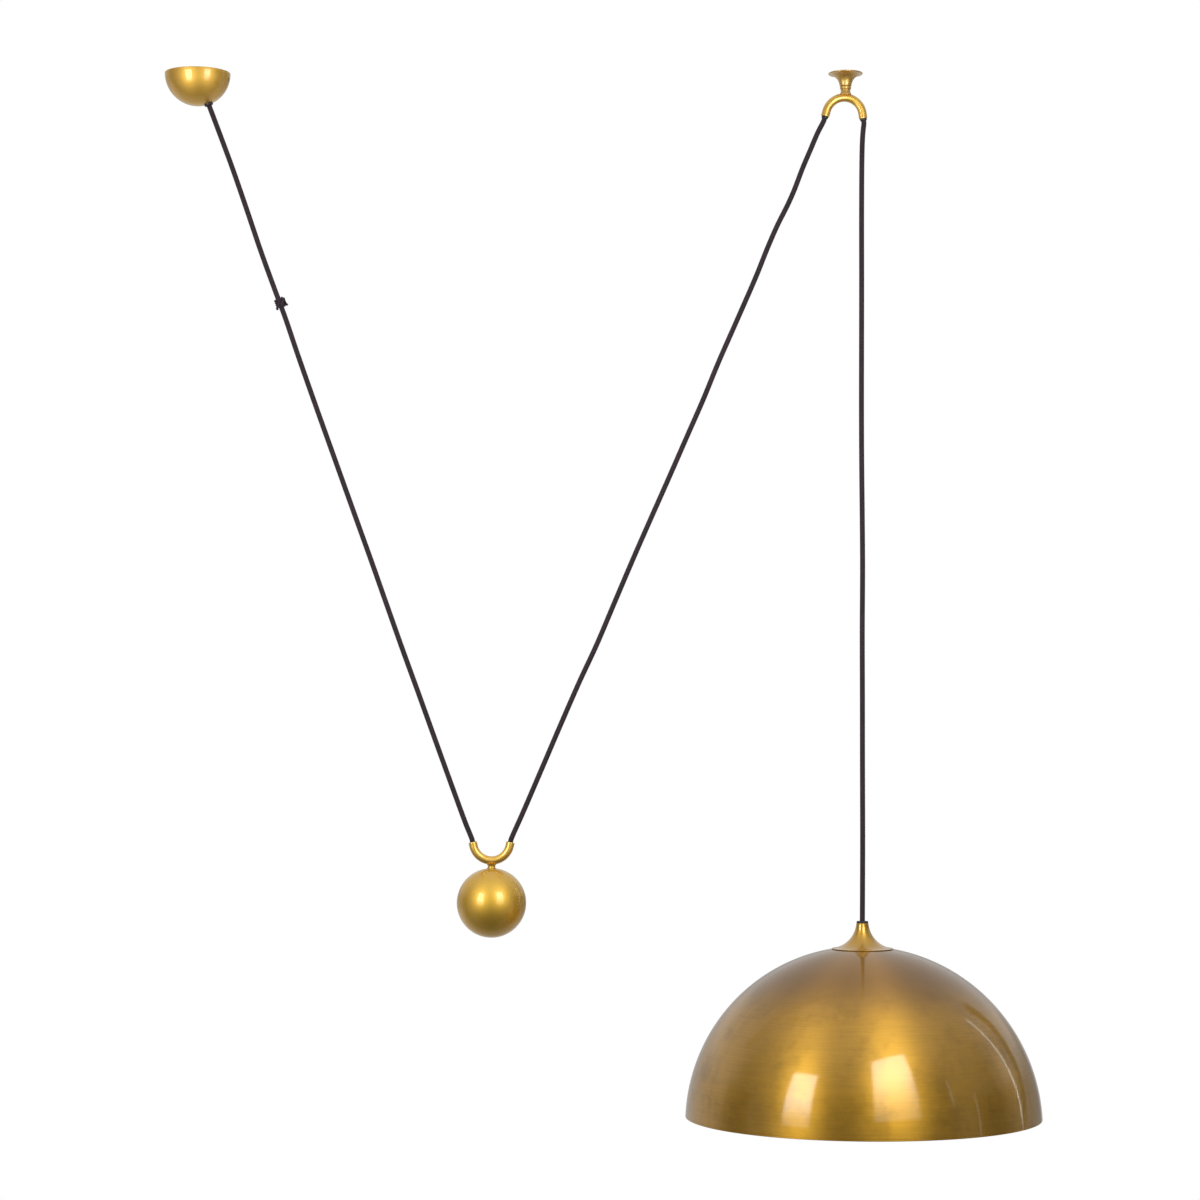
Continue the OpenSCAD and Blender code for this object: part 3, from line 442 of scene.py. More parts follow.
knot_height = TURNS * STRAND * 0.95
knot_turns = wound("knot_turns", {
    "Turns": float(TURNS), "Height": knot_height * MM, "Turn radius": knot_turn_r * MM,
    "Strand radius": STRAND / 2 * MM,
}, THREAD)
for vert in knot_turns.data.vertices:
    x, y, z = vert.co / MM
    vert.co = in_knot(x, y, z - knot_height / 2)
tied = smoothed([in_knot(*p) for p in (
    (4.6, 1.5, 5.4), (2.5, 5.4, 3.4), (4.4, 5.8, 0.2), (6.4, 3.4, -2.6), (6.6, -0.6, -3.4),
    (6.3, -2.6, -0.6), (6.7, -0.6, 2.6), (7.2, 1.2, 4.2), (8.5, 1.2, 6.1),
)], 0.5 * MM)
left_end = smoothed([in_knot(*p) for p in (
    (-1.0, 5.2, 4.4), (-3.6, 4.4, 4.6), (-5.2, 2.0, 5.6), (-5.3, 1.0, 6.6), (-5.1, 0.8, 7.6),
)], 0.5 * MM)
knot_pieces = [
    knot_turns,
    cord_piece("knot_tied_end", tied, THREAD, diameter=LOOSE_STRAND * MM, sides=14),
    cord_piece("knot_left_end", left_end, THREAD, diameter=LOOSE_STRAND * MM, sides=14),
]
for piece in knot_pieces:
    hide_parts("cord_knot")
    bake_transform(piece)


# ---- Runs of the cord ----
# The three free runs, and the lengths of the same cord that lie in the bent tubes, in the
# canopy and in the cap's nipple.

for name, line, far_body, node, carried in (
    ("left_run", left_line, "counterweight", "cord_left_run", knot_pieces),
    ("right_run", right_line, "counterweight", "cord_right_run", []),
    ("drop_run", drop_line, "lamp", "cord_drop_run", []),
):
    run = cord_piece(name, line, TEXTILE)
    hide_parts(node)
    marks_along(line)[-1]
    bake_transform(run)

canopy_tail = [CANOPY_SHEATH_END * exit_way, canopy_mouth]
lamp_tail = [Vector((LAMP_X, 0, APEX_Z + z)) for z in (GRIP_TOP, 0, LAMP_SHEATH_END)]
for name, line, body in (
    ("cord_in_hook", hook_line, "ceiling"),
    ("cord_in_counterweight", weight_line, "counterweight"),
    ("canopy_cord_tail", canopy_tail, "ceiling"),
    ("lamp_cord_tail", lamp_tail, "lamp"),
):
    stretch = cord_piece(name, [p * MM for p in line], TEXTILE)
    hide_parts(name)
    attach(stretch, body)


# ---- Dome ----
# Sheet brass spun over a former, satin brushed on the lathe and lacquered clear. The rim is
# folded inwards to a hem, and a fine tool line marks where the hem starts.

AXIS_X = LAMP_X * MM
lamp_seat = (LAMP_X, 0, APEX_Z)


def eased(corners, steps=4):
    """A closed outline whose corners (r, z, round) are rounded off, in mm."""
    outline = []
    for i, (r, z, *round_) in enumerate(corners):
        here = Vector((r, z))
        size = round_[0] if round_ else 0
        if not size:
            outline.append(here)
            continue
        back = Vector(corners[i - 1][:2]) - here
        ahead = Vector(corners[(i + 1) % len(corners)][:2]) - here
        size = min(size, back.length / 2.05, ahead.length / 2.05)
        first, last = here + back.normalized() * size, here + ahead.normalized() * size
        for k in range(steps + 1):
            t = k / steps
            outline.append((1 - t) ** 2 * first + 2 * t * (1 - t) * here + t * t * last)
    return outline


def turned(name, outline, seat, material, steps=128, tilt=None, sharp=32):
    """A closed outline of (r, z) in mm, turned about an upright axis through seat, in mm."""
    verts, rows = [], []
    for r, z in outline:
        count = 1 if r < 1e-6 else steps
        rows.append([len(verts) + k % count for k in range(steps)])
        for k in range(count):
            a = 2 * math.pi * k / steps
            verts.append(Vector((r * math.sin(a), -r * math.cos(a), z)))
    faces = []
    for low, high in zip(rows, rows[1:] + rows[:1]):
        for k in range(steps):
            j = (k + 1) % steps
            corners = list(dict.fromkeys((low[k], low[j], high[j], high[k])))
            if len(corners) > 2:
                faces.append(corners)
    turn = tilt or Matrix.Identity(3)
    piece = mesh_piece(name, [(turn @ v + Vector(seat)) * MM for v in verts], faces, material)
    face_outwards(piece, sharp)
    return piece


def face_outwards(piece, sharp=32):
    """Turns every face of a closed piece outwards and shades it smooth again."""
    shape = bmesh.new()
    shape.from_mesh(piece.data)
    bmesh.ops.recalc_face_normals(shape, faces=shape.faces)
    shape.to_mesh(piece.data)
    shape.free()
    piece.data.shade_smooth()
    piece.data.set_sharp_from_angle(angle=math.radians(sharp))


def spun(
    name, x, deep, lit, roughness, satin, streak, patina=0.35, grain=1.0, coat=0.06, painted_top_shade=None,
):
    """Turned brass under clear lacquer: lines round an upright axis at x; where asked, painted
    shade makes it browner and darker towards the top.
    """
    f = Finish(
        name, Metallic=1.0, Coat_Weight=1.0, Coat_Roughness=coat, Coat_IOR=1.5,
        Anisotropic=streak, Anisotropic_Rotation=0.25,
    )
    where = f.place(x)
    across, deep_y, z = f.parts(where)
    r = (across * across + deep_y * deep_y) ** 0.5 + 0.0001
    coarse, fine = 700 * grain, 2200 * grain
    long, short = 3.2, 14
    ring = f.add("ShaderNodeCombineXYZ", {}, across / r * long, deep_y / r * long, z * coarse)
    dash = f.add("ShaderNodeCombineXYZ", {}, across / r * short, deep_y / r * short, z * fine)
    lines = f.noise(ring, 1.0, 2.0, 0.55, W=r * coarse)
    hairs = f.noise(dash, 1.0, 1.0, 0.5, W=r * fine)
    cloud = f.noise(where, 20, 5.0, 0.65)
    aged = cloud.over(0.42, 0.72) * patina
    tone = lines * 0.6 + hairs * 0.4
    share = tone.over(0.3, 0.7) * (0.4 * satin) + (1 - aged) * 0.6
    colour = f.blend(share, deep, lit)
    rough = roughness + (tone - 0.5) * (0.12 * satin) + aged * 0.07
    # Painted shade: towards the top the colour is blended to a browner, darker one, and the
    # roughness rises there too.
    if painted_top_shade:
        low, high, brown = painted_top_shade
        colour = f.blend(z.over(low, high), colour, brown)
        rough = rough + z.over(low - 0.065, high) * 0.13
    f.set(Base_Color=colour, Roughness=rough)
    f.bump(tone, 0.00006 * satin, 0.3)
    return f.material


def sphere_line(radius, first, last, steps, centre_z=0.0):
    """Points (r, z) of a circle, from one angle off its top to another, in degrees."""
    angles = [math.radians(first + (last - first) * i / steps) for i in range(steps + 1)]
    return [(radius * math.sin(a), centre_z + radius * math.cos(a)) for a in angles]


SHADE_R, SHADE_H, SHADE_WALL, SHADE_HOLE_R = 220, 210, 0.6, 5.2
HEM_H, HEM_T, TOOL_LINE = 2.4, 1.4, 0.25
# Its last colour is painted shade, which makes the dome browner and darker towards its top.
SPUN_DOME = spun(
    "spun_dome_brass", AXIS_X, (0.30, 0.165, 0.014), (0.64, 0.345, 0.033), 0.46, satin=0.7,
    streak=0.72, patina=0.65, coat=0.085, painted_top_shade=(-1.175, -1.118, (0.30, 0.155, 0.03)),
)


def rim_r(depth):
    """The dome's outer radius at a depth below its top."""
    return math.sqrt(SHADE_R ** 2 - (SHADE_R - depth) ** 2)


def polar(depth, radius):
    """How far off the top a depth lies on a sphere about the dome's middle, in degrees."""
    return math.degrees(math.acos((SHADE_R - depth) / radius))


hole = math.degrees(math.asin(SHADE_HOLE_R / SHADE_R))
rim = rim_r(SHADE_H)
line_top = SHADE_H - HEM_H - 0.5
outline = sphere_line(SHADE_R, hole, polar(line_top, SHADE_R), 90, -SHADE_R)
outline += [
    (rim_r(line_top + 0.15) - TOOL_LINE, -line_top - 0.15),
    (rim_r(line_top + 0.4) - TOOL_LINE, -line_top - 0.4),
    (rim_r(line_top + 0.55), -line_top - 0.55),
    (rim_r(line_top + 1.2), -line_top - 1.2),
]
outline += [tuple(p) for p in eased([
    (rim - 0.7, -SHADE_H + 1), (rim, -SHADE_H + 1), (rim, -SHADE_H, 0.7),
    (rim - HEM_T, -SHADE_H, 0.7), (rim - HEM_T, -SHADE_H + HEM_H, 0.5),
    (rim - SHADE_WALL - 0.1, -SHADE_H + HEM_H), (rim - 0.7, -SHADE_H + 1),
])[1:-1]]
inner_r = SHADE_R - SHADE_WALL
inner_rim = polar(SHADE_H - HEM_H, inner_r)
inner_hole = math.degrees(math.asin(SHADE_HOLE_R / inner_r))
outline += sphere_line(inner_r, inner_rim, inner_hole, 48, -SHADE_R)
dome = turned("dome", outline, lamp_seat, SPUN_DOME, steps=256)
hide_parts("shade")
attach(dome, "lamp")


# ---- Cap and cord grip ----
# A small spun trumpet with a thin flat lip that rests on the dome. A black threaded grip on
# its neck clamps the cord and holds the cap down.

CAP_R, CAP_H, CAP_SEAT, CAP_NECK_R = 38.25, 32.3, 3.35, 7.5
CAP_CURVE_R, CAP_LIP, CAP_WALL = 33.5, 1.1, 1
CAP_NECK_Z = CAP_H - CAP_SEAT
SATIN = spun(
    "satin_brass", AXIS_X, (0.44, 0.245, 0.028), (0.70, 0.40, 0.050), 0.40, satin=0.2, streak=0.4,
    grain=0.5,
)


def arc_through(p, q, radius, steps):
    """Points (r, z) from p to q on a circle whose centre is outside and above."""
    p, q = Vector(p), Vector(q)
    way = (q - p).normalized()
    half = (q - p).length / 2
    centre = (p + q) / 2 + Vector((way.y, -way.x)) * math.sqrt(radius ** 2 - half ** 2)
    first, last = p - centre, q - centre
    a, b = math.atan2(first.y, first.x), math.atan2(last.y, last.x)
    turn = (b - a + math.pi) % (2 * math.pi) - math.pi
    spots = [a + turn * i / steps for i in range(steps + 1)]
    arc = [(centre.x + radius * math.cos(t), centre.y + radius * math.sin(t)) for t in spots]
    return centre, arc


lip_top = CAP_LIP - CAP_SEAT
flare_foot, flare_head = (CAP_R - 0.45, lip_top), (CAP_NECK_R, CAP_NECK_Z - 0.3)
centre, flare = arc_through(flare_foot, flare_head, CAP_CURVE_R, 40)
grown = (CAP_CURVE_R + CAP_WALL) / CAP_CURVE_R
inside = [
    (centre.x + (r - centre.x) * grown, centre.y + (z - centre.y) * grown) for r, z in flare
]
outline = [(CAP_R - 0.12, lip_top - 0.1), *flare, (CAP_NECK_R - 0.25, CAP_NECK_Z)]
outline += [(inside[-1][0], CAP_NECK_Z), *inside[-2:5:-1]]
outline += [
    (CAP_R - 2, -CAP_SEAT + 0.42), (CAP_R - 1.1, -CAP_SEAT + 0.24),
    (CAP_R - 0.95, -CAP_SEAT + 0.26), (CAP_R - 0.1, lip_top - 0.42), (CAP_R, lip_top - 0.3),
]
cap = turned("cap", outline, lamp_seat, SATIN)
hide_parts("shade_cap")
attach(cap, "lamp")


def moulded(name, colour, gloss=0.42, grain=0.35):
    """Moulded plastic with a faint grain and a few rubbed places."""
    f = Finish(name, Metallic=0.0, Specular_IOR_Level=0.5)
    where = f.place()
    skin = f.noise(where, 1400, 2.0)
    rubbed = f.noise(where, 60, 3.0).over(0.45, 0.7)
    paler = tuple(min(1, c * 1.25 + 0.01) for c in colour)
    f.set(
        Base_Color=f.blend(rubbed * 0.5 + skin * 0.3, colour, paler),
        Roughness=gloss + rubbed * 0.12 + (skin - 0.5) * 0.08,
    )
    f.bump(skin, 0.00004, grain)
    return f.material


BLACK = moulded("black_moulding", (0.014, 0.013, 0.015), 0.36)
GRIP_R, GRIP_STEM_R, GRIP_THREAD_R, GRIP_END, CORD_BORE_R = 7.2, 6.15, 5.06, 20, 3.3
grip_shoulder = CAP_NECK_Z + 0.06
grip = turned("grip", eased([
    (CORD_BORE_R, GRIP_TOP - 2.3), (CORD_BORE_R, GRIP_TOP, 0.5), (GRIP_R, GRIP_TOP, 0.7),
    (GRIP_R, grip_shoulder, 0.25), (GRIP_STEM_R, grip_shoulder), (GRIP_STEM_R, GRIP_END),
    (GRIP_THREAD_R, GRIP_END), (GRIP_THREAD_R, CAP_NECK_Z),
]), lamp_seat, BLACK, steps=72)
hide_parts("cord_grip")
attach(grip, "lamp")


# ---- Canopy ----
# A spun brass half sphere over the ceiling strap, with a hole for the cord's bush low on its
# right side and one for a side screw at each end of the strap.

CANOPY_R, CANOPY_WALL, BUSH_CUT_R = 41, 1, 4.45
STRAP_TURN, SIDE_SCREW_Z, SIDE_SCREW_CUT_R = math.radians(-8), -9, 2.1
CUT_FROM, CUT_TO = 20, 60
CANOPY_BRASS = spun(
    "canopy_brass", 0, (0.72, 0.43, 0.070), (0.96, 0.60, 0.110), 0.56, satin=0.2, streak=0.2,
    grain=0.5, coat=0.085,
)


def rod(name, line, radius, sides=48):
    """A plain round rod, for cutting."""
    points = [Vector(p) * MM for p in line]
    return cord_piece(name, points, BLACK, diameter=2 * radius * MM, sides=sides)


def bored(piece, *cutters):
    """The piece with the cutters' shapes taken out of it."""
    for cutter in cutters:
        bore = piece.modifiers.new("bore", "BOOLEAN")
        bore.operation, bore.solver, bore.object = "DIFFERENCE", "EXACT", cutter
    bpy.context.view_layer.update()
    whole = bpy.data.meshes.new_from_object(
        piece.evaluated_get(bpy.context.evaluated_depsgraph_get())
    )
    piece.modifiers.clear()
    piece.data = whole
    for cutter in cutters:
        bpy.data.objects.remove(cutter)
    face_outwards(piece)
    return piece


outline = sphere_line(CANOPY_R, 90.5, 180, 64) + sphere_line(CANOPY_R - CANOPY_WALL, 180, 90.5, 48)
outline += [
    (CANOPY_R - 0.9, -0.1), (CANOPY_R - 0.7, 0), (CANOPY_R - 0.3, 0), (CANOPY_R - 0.1, -0.1),
]
canopy = turned("canopy", outline, (0, 0, 0), CANOPY_BRASS, steps=192)
side_screw = Vector((0, 0, SIDE_SCREW_Z))
to_screw = CUT_TO * Vector((math.cos(STRAP_TURN), math.sin(STRAP_TURN), 0))
bored(
    canopy,
    rod("bush_cut", [CUT_FROM * exit_way, CUT_TO * exit_way], BUSH_CUT_R),
    rod("screw_cut", [side_screw - to_screw, side_screw + to_screw], SIDE_SCREW_CUT_R),
)
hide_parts("canopy")
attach(canopy, "ceiling")

BUSH_R, BUSH_NECK_R, BUSH_START = 5.5, 4.4, 34
exit_tilt = Matrix.Rotation(math.radians(180 - CORD_EXIT), 3, "Y")
bush = turned("bush", eased([
    (CORD_BORE_R, BUSH_START), (CORD_BORE_R, BUSH_END, 0.45), (BUSH_R, BUSH_END, 0.6),
    (BUSH_R, 40.75), (BUSH_NECK_R, 40.9), (BUSH_NECK_R, BUSH_START),
]), (0, 0, 0), BLACK, steps=72, tilt=exit_tilt)
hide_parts("canopy_bush")
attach(bush, "ceiling")


# ---- Hook ----
# A turned brass trumpet against the ceiling, a collar and stem screwed into it, and a bent
# brass tube brazed under the stem. Black liners in the tube carry the cord.

HOOK_BRASS = spun(
    "hook_brass", HOOK_X * MM, (0.56, 0.34, 0.075), (0.80, 0.52, 0.14), 0.48, satin=0.05,
    streak=0.1, patina=0.2, grain=0.3, coat=0.14,
)


def tube_skin(length, outer, inner, lip=0.35, step=0.9):
    """The wall of a tube: out along its outside, round the lip, and back along its bore."""
    count = round(length / step)
    out = [(lip + (length - 2 * lip) * i / count, outer) for i in range(count + 1)]
    back = [(length - 0.2 - (length - 0.4) * i / count, inner) for i in range(count + 1)]
    far = [(length - lip * 0.3, outer - lip * 0.25), (length, outer - lip), (length, inner + 0.2)]
    near = [(0, inner + 0.2), (0, outer - lip), (lip * 0.3, outer - lip * 0.25)]
    return out + far + back + near


def piped(name, line, outer, inner, material, sides=48):
    """A tube along a line, its lips rounded, in mm."""
    rings = along(line, tube_skin(marks_along(line)[-1], outer, inner), sides)
    verts = [p * MM for ring in rings for p in ring]
    count = len(rings)
    faces = [
        (i * sides + k, i * sides + (k + 1) % sides,
         (i + 1) % count * sides + (k + 1) % sides, (i + 1) % count * sides + k)
        for i in range(count) for k in range(sides)
    ]
    piece = mesh_piece(name, verts, faces, material)
    face_outwards(piece)
    return piece


def lacquered_tube(name, x, z):
    """Drawn brass tube, polished along its length and lacquered."""
    f = Finish(name, Metallic=1.0, Coat_Weight=1.0, Coat_Roughness=0.12, Coat_IOR=1.5)
    where = f.place(x, 0, z)
    across, deep_y, up = f.parts(where)
    away = (across * across + up * up) ** 0.5
    lay = f.add("ShaderNodeCombineXYZ", {}, across * 60, deep_y * 900, away * 900)
    lines = f.noise(lay, 1.0, 2.0, 0.5)
    cloud = f.noise(where, 90, 4.0, 0.6).over(0.4, 0.7)
    tone = f.blend(cloud * 0.5 + lines * 0.2, (0.88, 0.55, 0.105), (0.70, 0.40, 0.06))
    f.set(Base_Color=tone, Roughness=0.42 + lines * 0.05 + cloud * 0.06)
    f.bump(lines, 0.000006, 0.2)
    return f.material


BELL_CURVE_R, BELL_CURVE_AT, TRUMPET_END, TRUMPET_BORE_R = 15, 22.5, -16.4, 4.1
bell = [
    (BELL_CURVE_AT - BELL_CURVE_R * math.cos(t), TRUMPET_END + BELL_CURVE_R * math.sin(t))
    for t in (math.pi / 2 * i / 30 for i in range(1, 29))
]
outline = [(TRUMPET_BORE_R, TRUMPET_END), (6.85, TRUMPET_END), (7.45, TRUMPET_END + 0.5), *bell]
outline += [
    (21.1, -1.25), (21.4, -1.05), (21.5, -0.8), (21.45, -0.25), (21.2, 0), (20.4, 0),
    (20.3, -0.15), (20.3, -0.75), (16, -1.3), (9.2, -4.2), (6.4, -8), (5.9, -12.4),
    (TRUMPET_BORE_R, -12.4),
]
trumpet = turned("hook_trumpet", outline, (HOOK_X, 0, 0), HOOK_BRASS)
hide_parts("hook_trumpet")
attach(trumpet, "ceiling")

STUD_R, BRAZE_GAP = 4, 0.02
stem = turned("hook_stem", eased([
    (2.5, -15), (2.5, -1.2), (3.7, -1.05, 0.2), (STUD_R, -1.6), (STUD_R, -16.45),
    (6.5, -16.5, 0.1), (7, -17, 0.3), (7, -20.1, 0.35), (5.5, -20.5, 0.15), (5.5, -20.9, 0.15),
    (6.1, -21.3, 0.2), (6.1, -23.6, 1.2), (7.5, -27.4, 0.3), (0, -27.5), (0, -15),
]), (HOOK_X, 0, 0), HOOK_BRASS)
bored(stem, rod("tube_cut", hook_line, TUBE_R + BRAZE_GAP))
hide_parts("hook_stem")
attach(stem, "ceiling")

TUBE_BORE_R, LINER_R, LINER_BORE_R = 4.25, 4.2, 3.5
hook_bend_z = HOOK_TOP - BEND_R - TUBE_R
POLISHED_HOOK = lacquered_tube("polished_hook_tube", HOOK_X * MM, hook_bend_z * MM)
tube = piped("hook_tube", on_hook(bend_line(HOOK_LEG)), TUBE_R, TUBE_BORE_R, POLISHED_HOOK)
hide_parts("hook_tube")
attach(tube, "ceiling")
liner = piped("hook_liner", hook_line, LINER_R, LINER_BORE_R, BLACK)
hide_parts("hook_liner")
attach(liner, "ceiling")


# ---- Counterweight ----
# A solid brass ball, screwed on a stud under a second bent tube that opens upwards. A black
# liner in the tube carries the cord.

BALL_R, BALL_SEAT_R, STUD_NECK = 43, 6.1, 4.2
BALL_TOP = WEIGHT_BEND_Z - BEND_R - TUBE_R - STUD_NECK
WEIGHT_BRASS = spun(
    "weight_brass", WEIGHT_X * MM, (0.60, 0.365, 0.045), (0.87, 0.54, 0.070), 0.53, satin=0.15,
    streak=0.15, grain=0.5, coat=0.15,
)
ball_seat = math.degrees(math.asin(BALL_SEAT_R / BALL_R))
outline = sphere_line(BALL_R, ball_seat, 180, 96, -BALL_R)
outline += [(0, -29), (STUD_R, -29), (STUD_R, -0.6), (5.8, -0.6), (5.85, -0.42)]
ball = turned("ball", outline, (WEIGHT_X, 0, BALL_TOP), WEIGHT_BRASS, steps=160)
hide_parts("counterweight_ball")
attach(ball, "counterweight")
ball.visible_glossy = False  # The photograph shows no picture of it in the dome.

stud = turned("counterweight_stud", eased([
    (0, -26.5), (3.6, -26.5), (STUD_R, -26.1), (STUD_R, -0.55), (5.6, -0.5, 0.15),
    (5.7, 0.45, 0.3), (4.7, 0.7, 0.2), (4.6, 2.9, 0.8), (6.9, 5.75), (0, 5.8),
]), (WEIGHT_X, 0, BALL_TOP), WEIGHT_BRASS)
bored(stud, rod("tube_cut", weight_line, TUBE_R + BRAZE_GAP))
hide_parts("counterweight_stud")
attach(stud, "counterweight")

POLISHED_WEIGHT = lacquered_tube("polished_weight_tube", WEIGHT_X * MM, WEIGHT_BEND_Z * MM)
tube = piped("counterweight_tube", weight_line, TUBE_R, TUBE_BORE_R, POLISHED_WEIGHT)
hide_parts("counterweight_tube")
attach(tube, "counterweight")
inner_line = on_weight(bend_line(WEIGHT_LEG - 0.5))
liner = piped("counterweight_liner", inner_line, LINER_R, LINER_BORE_R, BLACK)
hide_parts("counterweight_liner")
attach(liner, "counterweight")


# ---- Lampholder ----
# A turned brass cap on the nipple and a brass skirt screwed into it, which clamp a glazed
# ceramic body. A rolled shell in it takes the bulb's screw cap. Heights are from the dome's top.

HOLDER_R, HOLDER_BOSS_R, HOLDER_WALL = 19.5, 8, 2.2
HOLDER_TOP, SHOULDER, HOLDER_SPLIT, SKIRT_END = -1.87, -7.97, -31.87, -55.87
INSERT_TOP, INSERT_FLOOR, INSERT_END, SHELL_TOP = -21.87, -29.87, -53.97, -33.47
INSERT_R, SHELL_R, SHELL_WALL, SHELL_LENGTH = 15.2, 13.6, 0.25, 20
BULB_PITCH, BULB_THREAD = 3.62, 0.15
SKIRT_THREAD_LOW, SKIRT_THREAD_HIGH, SKIRT_PITCH, SKIRT_THREAD = -52.5, -35.5, 2, 0.45
NIPPLE_CLEAR_R, THREAD_ROW = 5.05, 0.3
HOLDER_BRASS = spun(
    "holder_brass", AXIS_X, (0.60, 0.37, 0.08), (0.80, 0.54, 0.15), 0.28, satin=0.4, streak=0.5,
    patina=0.3,
)


def with_rows(outline, low, high):
    """The outline with close points on its long straight side, for a thread to be cut in."""
    count = round((high - low) / THREAD_ROW)
    rows = []
    for (r, z), (r2, z2) in zip(outline, outline[1:] + outline[:1]):
        rows.append((r, z))
        if abs(r - r2) < 1e-6 and min(z, z2) <= low and max(z, z2) >= high:
            heights = [low + (high - low) * i / count for i in range(count + 1)]
            rows += [(r, h) for h in (heights if z < z2 else reversed(heights))]
    return rows


def cut_thread(piece, radius, low, high, pitch, depth):
    """Sinks a helical groove into the skin of a turned piece at one radius, sizes in mm."""
    for vert in piece.data.vertices:
        x, y, z = (vert.co / MM) - Vector(lamp_seat)
        r = math.hypot(x, y)
        if abs(r - radius) > 0.02 or not low <= z <= high:
            continue
        ease = min(1, (z - low) / pitch, (high - z) / pitch)
        wave = 0.5 - 0.5 * math.cos(2 * math.pi * z / pitch - math.atan2(y, x))
        shift = (radius - depth * ease * wave) / r
        vert.co = Vector((LAMP_X + x * shift, y * shift, APEX_Z + z)) * MM


cap_inside_r, cap_floor = HOLDER_R - HOLDER_WALL, SHOULDER - HOLDER_WALL
holder_cap = turned("holder_cap", eased([
    (NIPPLE_CLEAR_R, HOLDER_TOP), (HOLDER_BOSS_R, HOLDER_TOP, 0.6), (HOLDER_BOSS_R, SHOULDER, 0.8),
    (HOLDER_R, SHOULDER, 3.4), (HOLDER_R, HOLDER_SPLIT, 0.35), (cap_inside_r, HOLDER_SPLIT, 0.2),
    (cap_inside_r, cap_floor, 1), (NIPPLE_CLEAR_R, cap_floor),
]), lamp_seat, HOLDER_BRASS, steps=96)
SKIRT_NECK_R, SKIRT_BORE_R, SKIRT_LIP_R = 17.2, 15.3, 14.2
skirt_top, skirt_neck_top = HOLDER_SPLIT - 0.1, HOLDER_SPLIT + 4.9
skirt_outline = with_rows([tuple(p) for p in eased([
    (SKIRT_LIP_R, SKIRT_END, 0.3), (HOLDER_R, SKIRT_END, 1.2), (HOLDER_R, skirt_top, 0.35),
    (SKIRT_NECK_R, skirt_top), (SKIRT_NECK_R, skirt_neck_top, 0.3),
    (SKIRT_BORE_R, skirt_neck_top, 0.2), (SKIRT_BORE_R, SKIRT_END + 1.8),
    (SKIRT_LIP_R, SKIRT_END + 1.8, 0.2),
])], SKIRT_THREAD_LOW, SKIRT_THREAD_HIGH)
holder_skirt = turned("holder_skirt", skirt_outline, lamp_seat, HOLDER_BRASS, steps=96)
cut_thread(
    holder_skirt, HOLDER_R, SKIRT_THREAD_LOW, SKIRT_THREAD_HIGH, SKIRT_PITCH, SKIRT_THREAD
)
for piece, node in ((holder_cap, "holder_cap"), (holder_skirt, "holder_skirt")):
    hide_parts(node)
    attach(piece, "lamp")


def glazed(name, colour):
    """Glazed ceramic: glassy, with faint clouds and specks under the glaze."""
    f = Finish(name, Metallic=0.0, Coat_Weight=0.6, Coat_Roughness=0.06)
    where = f.place()
    cloud = f.noise(where, 120, 4.0).over(0.35, 0.7)
    specks = f.noise(where, 900, 1.0).over(0.74, 0.8)
    dull = tuple(c * 0.86 for c in colour)
    f.set(
        Base_Color=f.blend(cloud * 0.6 + specks * 0.4, colour, dull),
        Roughness=0.22 + cloud * 0.1,
    )
    f.bump(f.noise(where, 260, 3.0), 0.00005, 0.3)
    return f.material


INSERT_BORE_R, PIN_X, PIN_R = SHELL_R + 0.05, 8.5, 1.0
insert = turned("holder_insert", eased([
    (0, INSERT_TOP), (INSERT_R, INSERT_TOP, 0.8), (INSERT_R, INSERT_END, 0.5),
    (INSERT_BORE_R, INSERT_END, 0.4), (INSERT_BORE_R, INSERT_FLOOR, 0.4), (0, INSERT_FLOOR),
]), lamp_seat, glazed("white_ceramic", (0.86, 0.85, 0.81)), steps=96)
pins = [
    [Vector((LAMP_X + x, 0, APEX_Z + z)) for z in (INSERT_TOP + 1, INSERT_FLOOR - 1)]
    for x in (-PIN_X, PIN_X)
]
bored(insert, *[rod("pin_cut", pin, PIN_R, sides=24) for pin in pins])
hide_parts("holder_insert")
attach(insert, "lamp")


def plain_metal(name, bright, dull, roughness):
    """Bare or plated metal with soft blotches and a fine grain."""
    f = Finish(name, Metallic=1.0)
    where = f.place()
    blotch = f.noise(where, 160, 4.0, 0.6).over(0.35, 0.7)
    grain = f.noise(where, 2400, 2.0)
    f.set(
        Base_Color=f.blend(blotch * 0.7 + grain * 0.3, bright, dull),
        Roughness=roughness + blotch * 0.12 + (grain - 0.5) * 0.1,
    )
    f.bump(grain, 0.00003, 0.4)
    return f.material


CONTACT_BRASS = plain_metal("contact_brass", (0.78, 0.62, 0.32), (0.62, 0.45, 0.20), 0.26)
shell_end = SHELL_TOP - SHELL_LENGTH
shell_bore_r = SHELL_R - SHELL_WALL
rows = round(SHELL_LENGTH / THREAD_ROW)
heights = [shell_end + SHELL_LENGTH * i / rows for i in range(rows + 1)]
shell_wall = [(SHELL_R, z) for z in heights] + [(shell_bore_r, z) for z in reversed(heights)]
shell = turned("socket_shell", shell_wall, lamp_seat, CONTACT_BRASS, steps=96)
for radius in (SHELL_R, shell_bore_r):
    cut_thread(shell, radius, shell_end, SHELL_TOP, BULB_PITCH, BULB_THREAD)
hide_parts("socket_shell")
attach(shell, "lamp")


# ---- Cores ----
# Three insulated cores leave each cut end of the sheath: live and neutral go into their
# terminals, and the earth core goes under its screw.

CORE_D, CUT_GAP = 2.2, 0.05
CORE_RING_R = CORE_D / math.sqrt(3) + 0.08


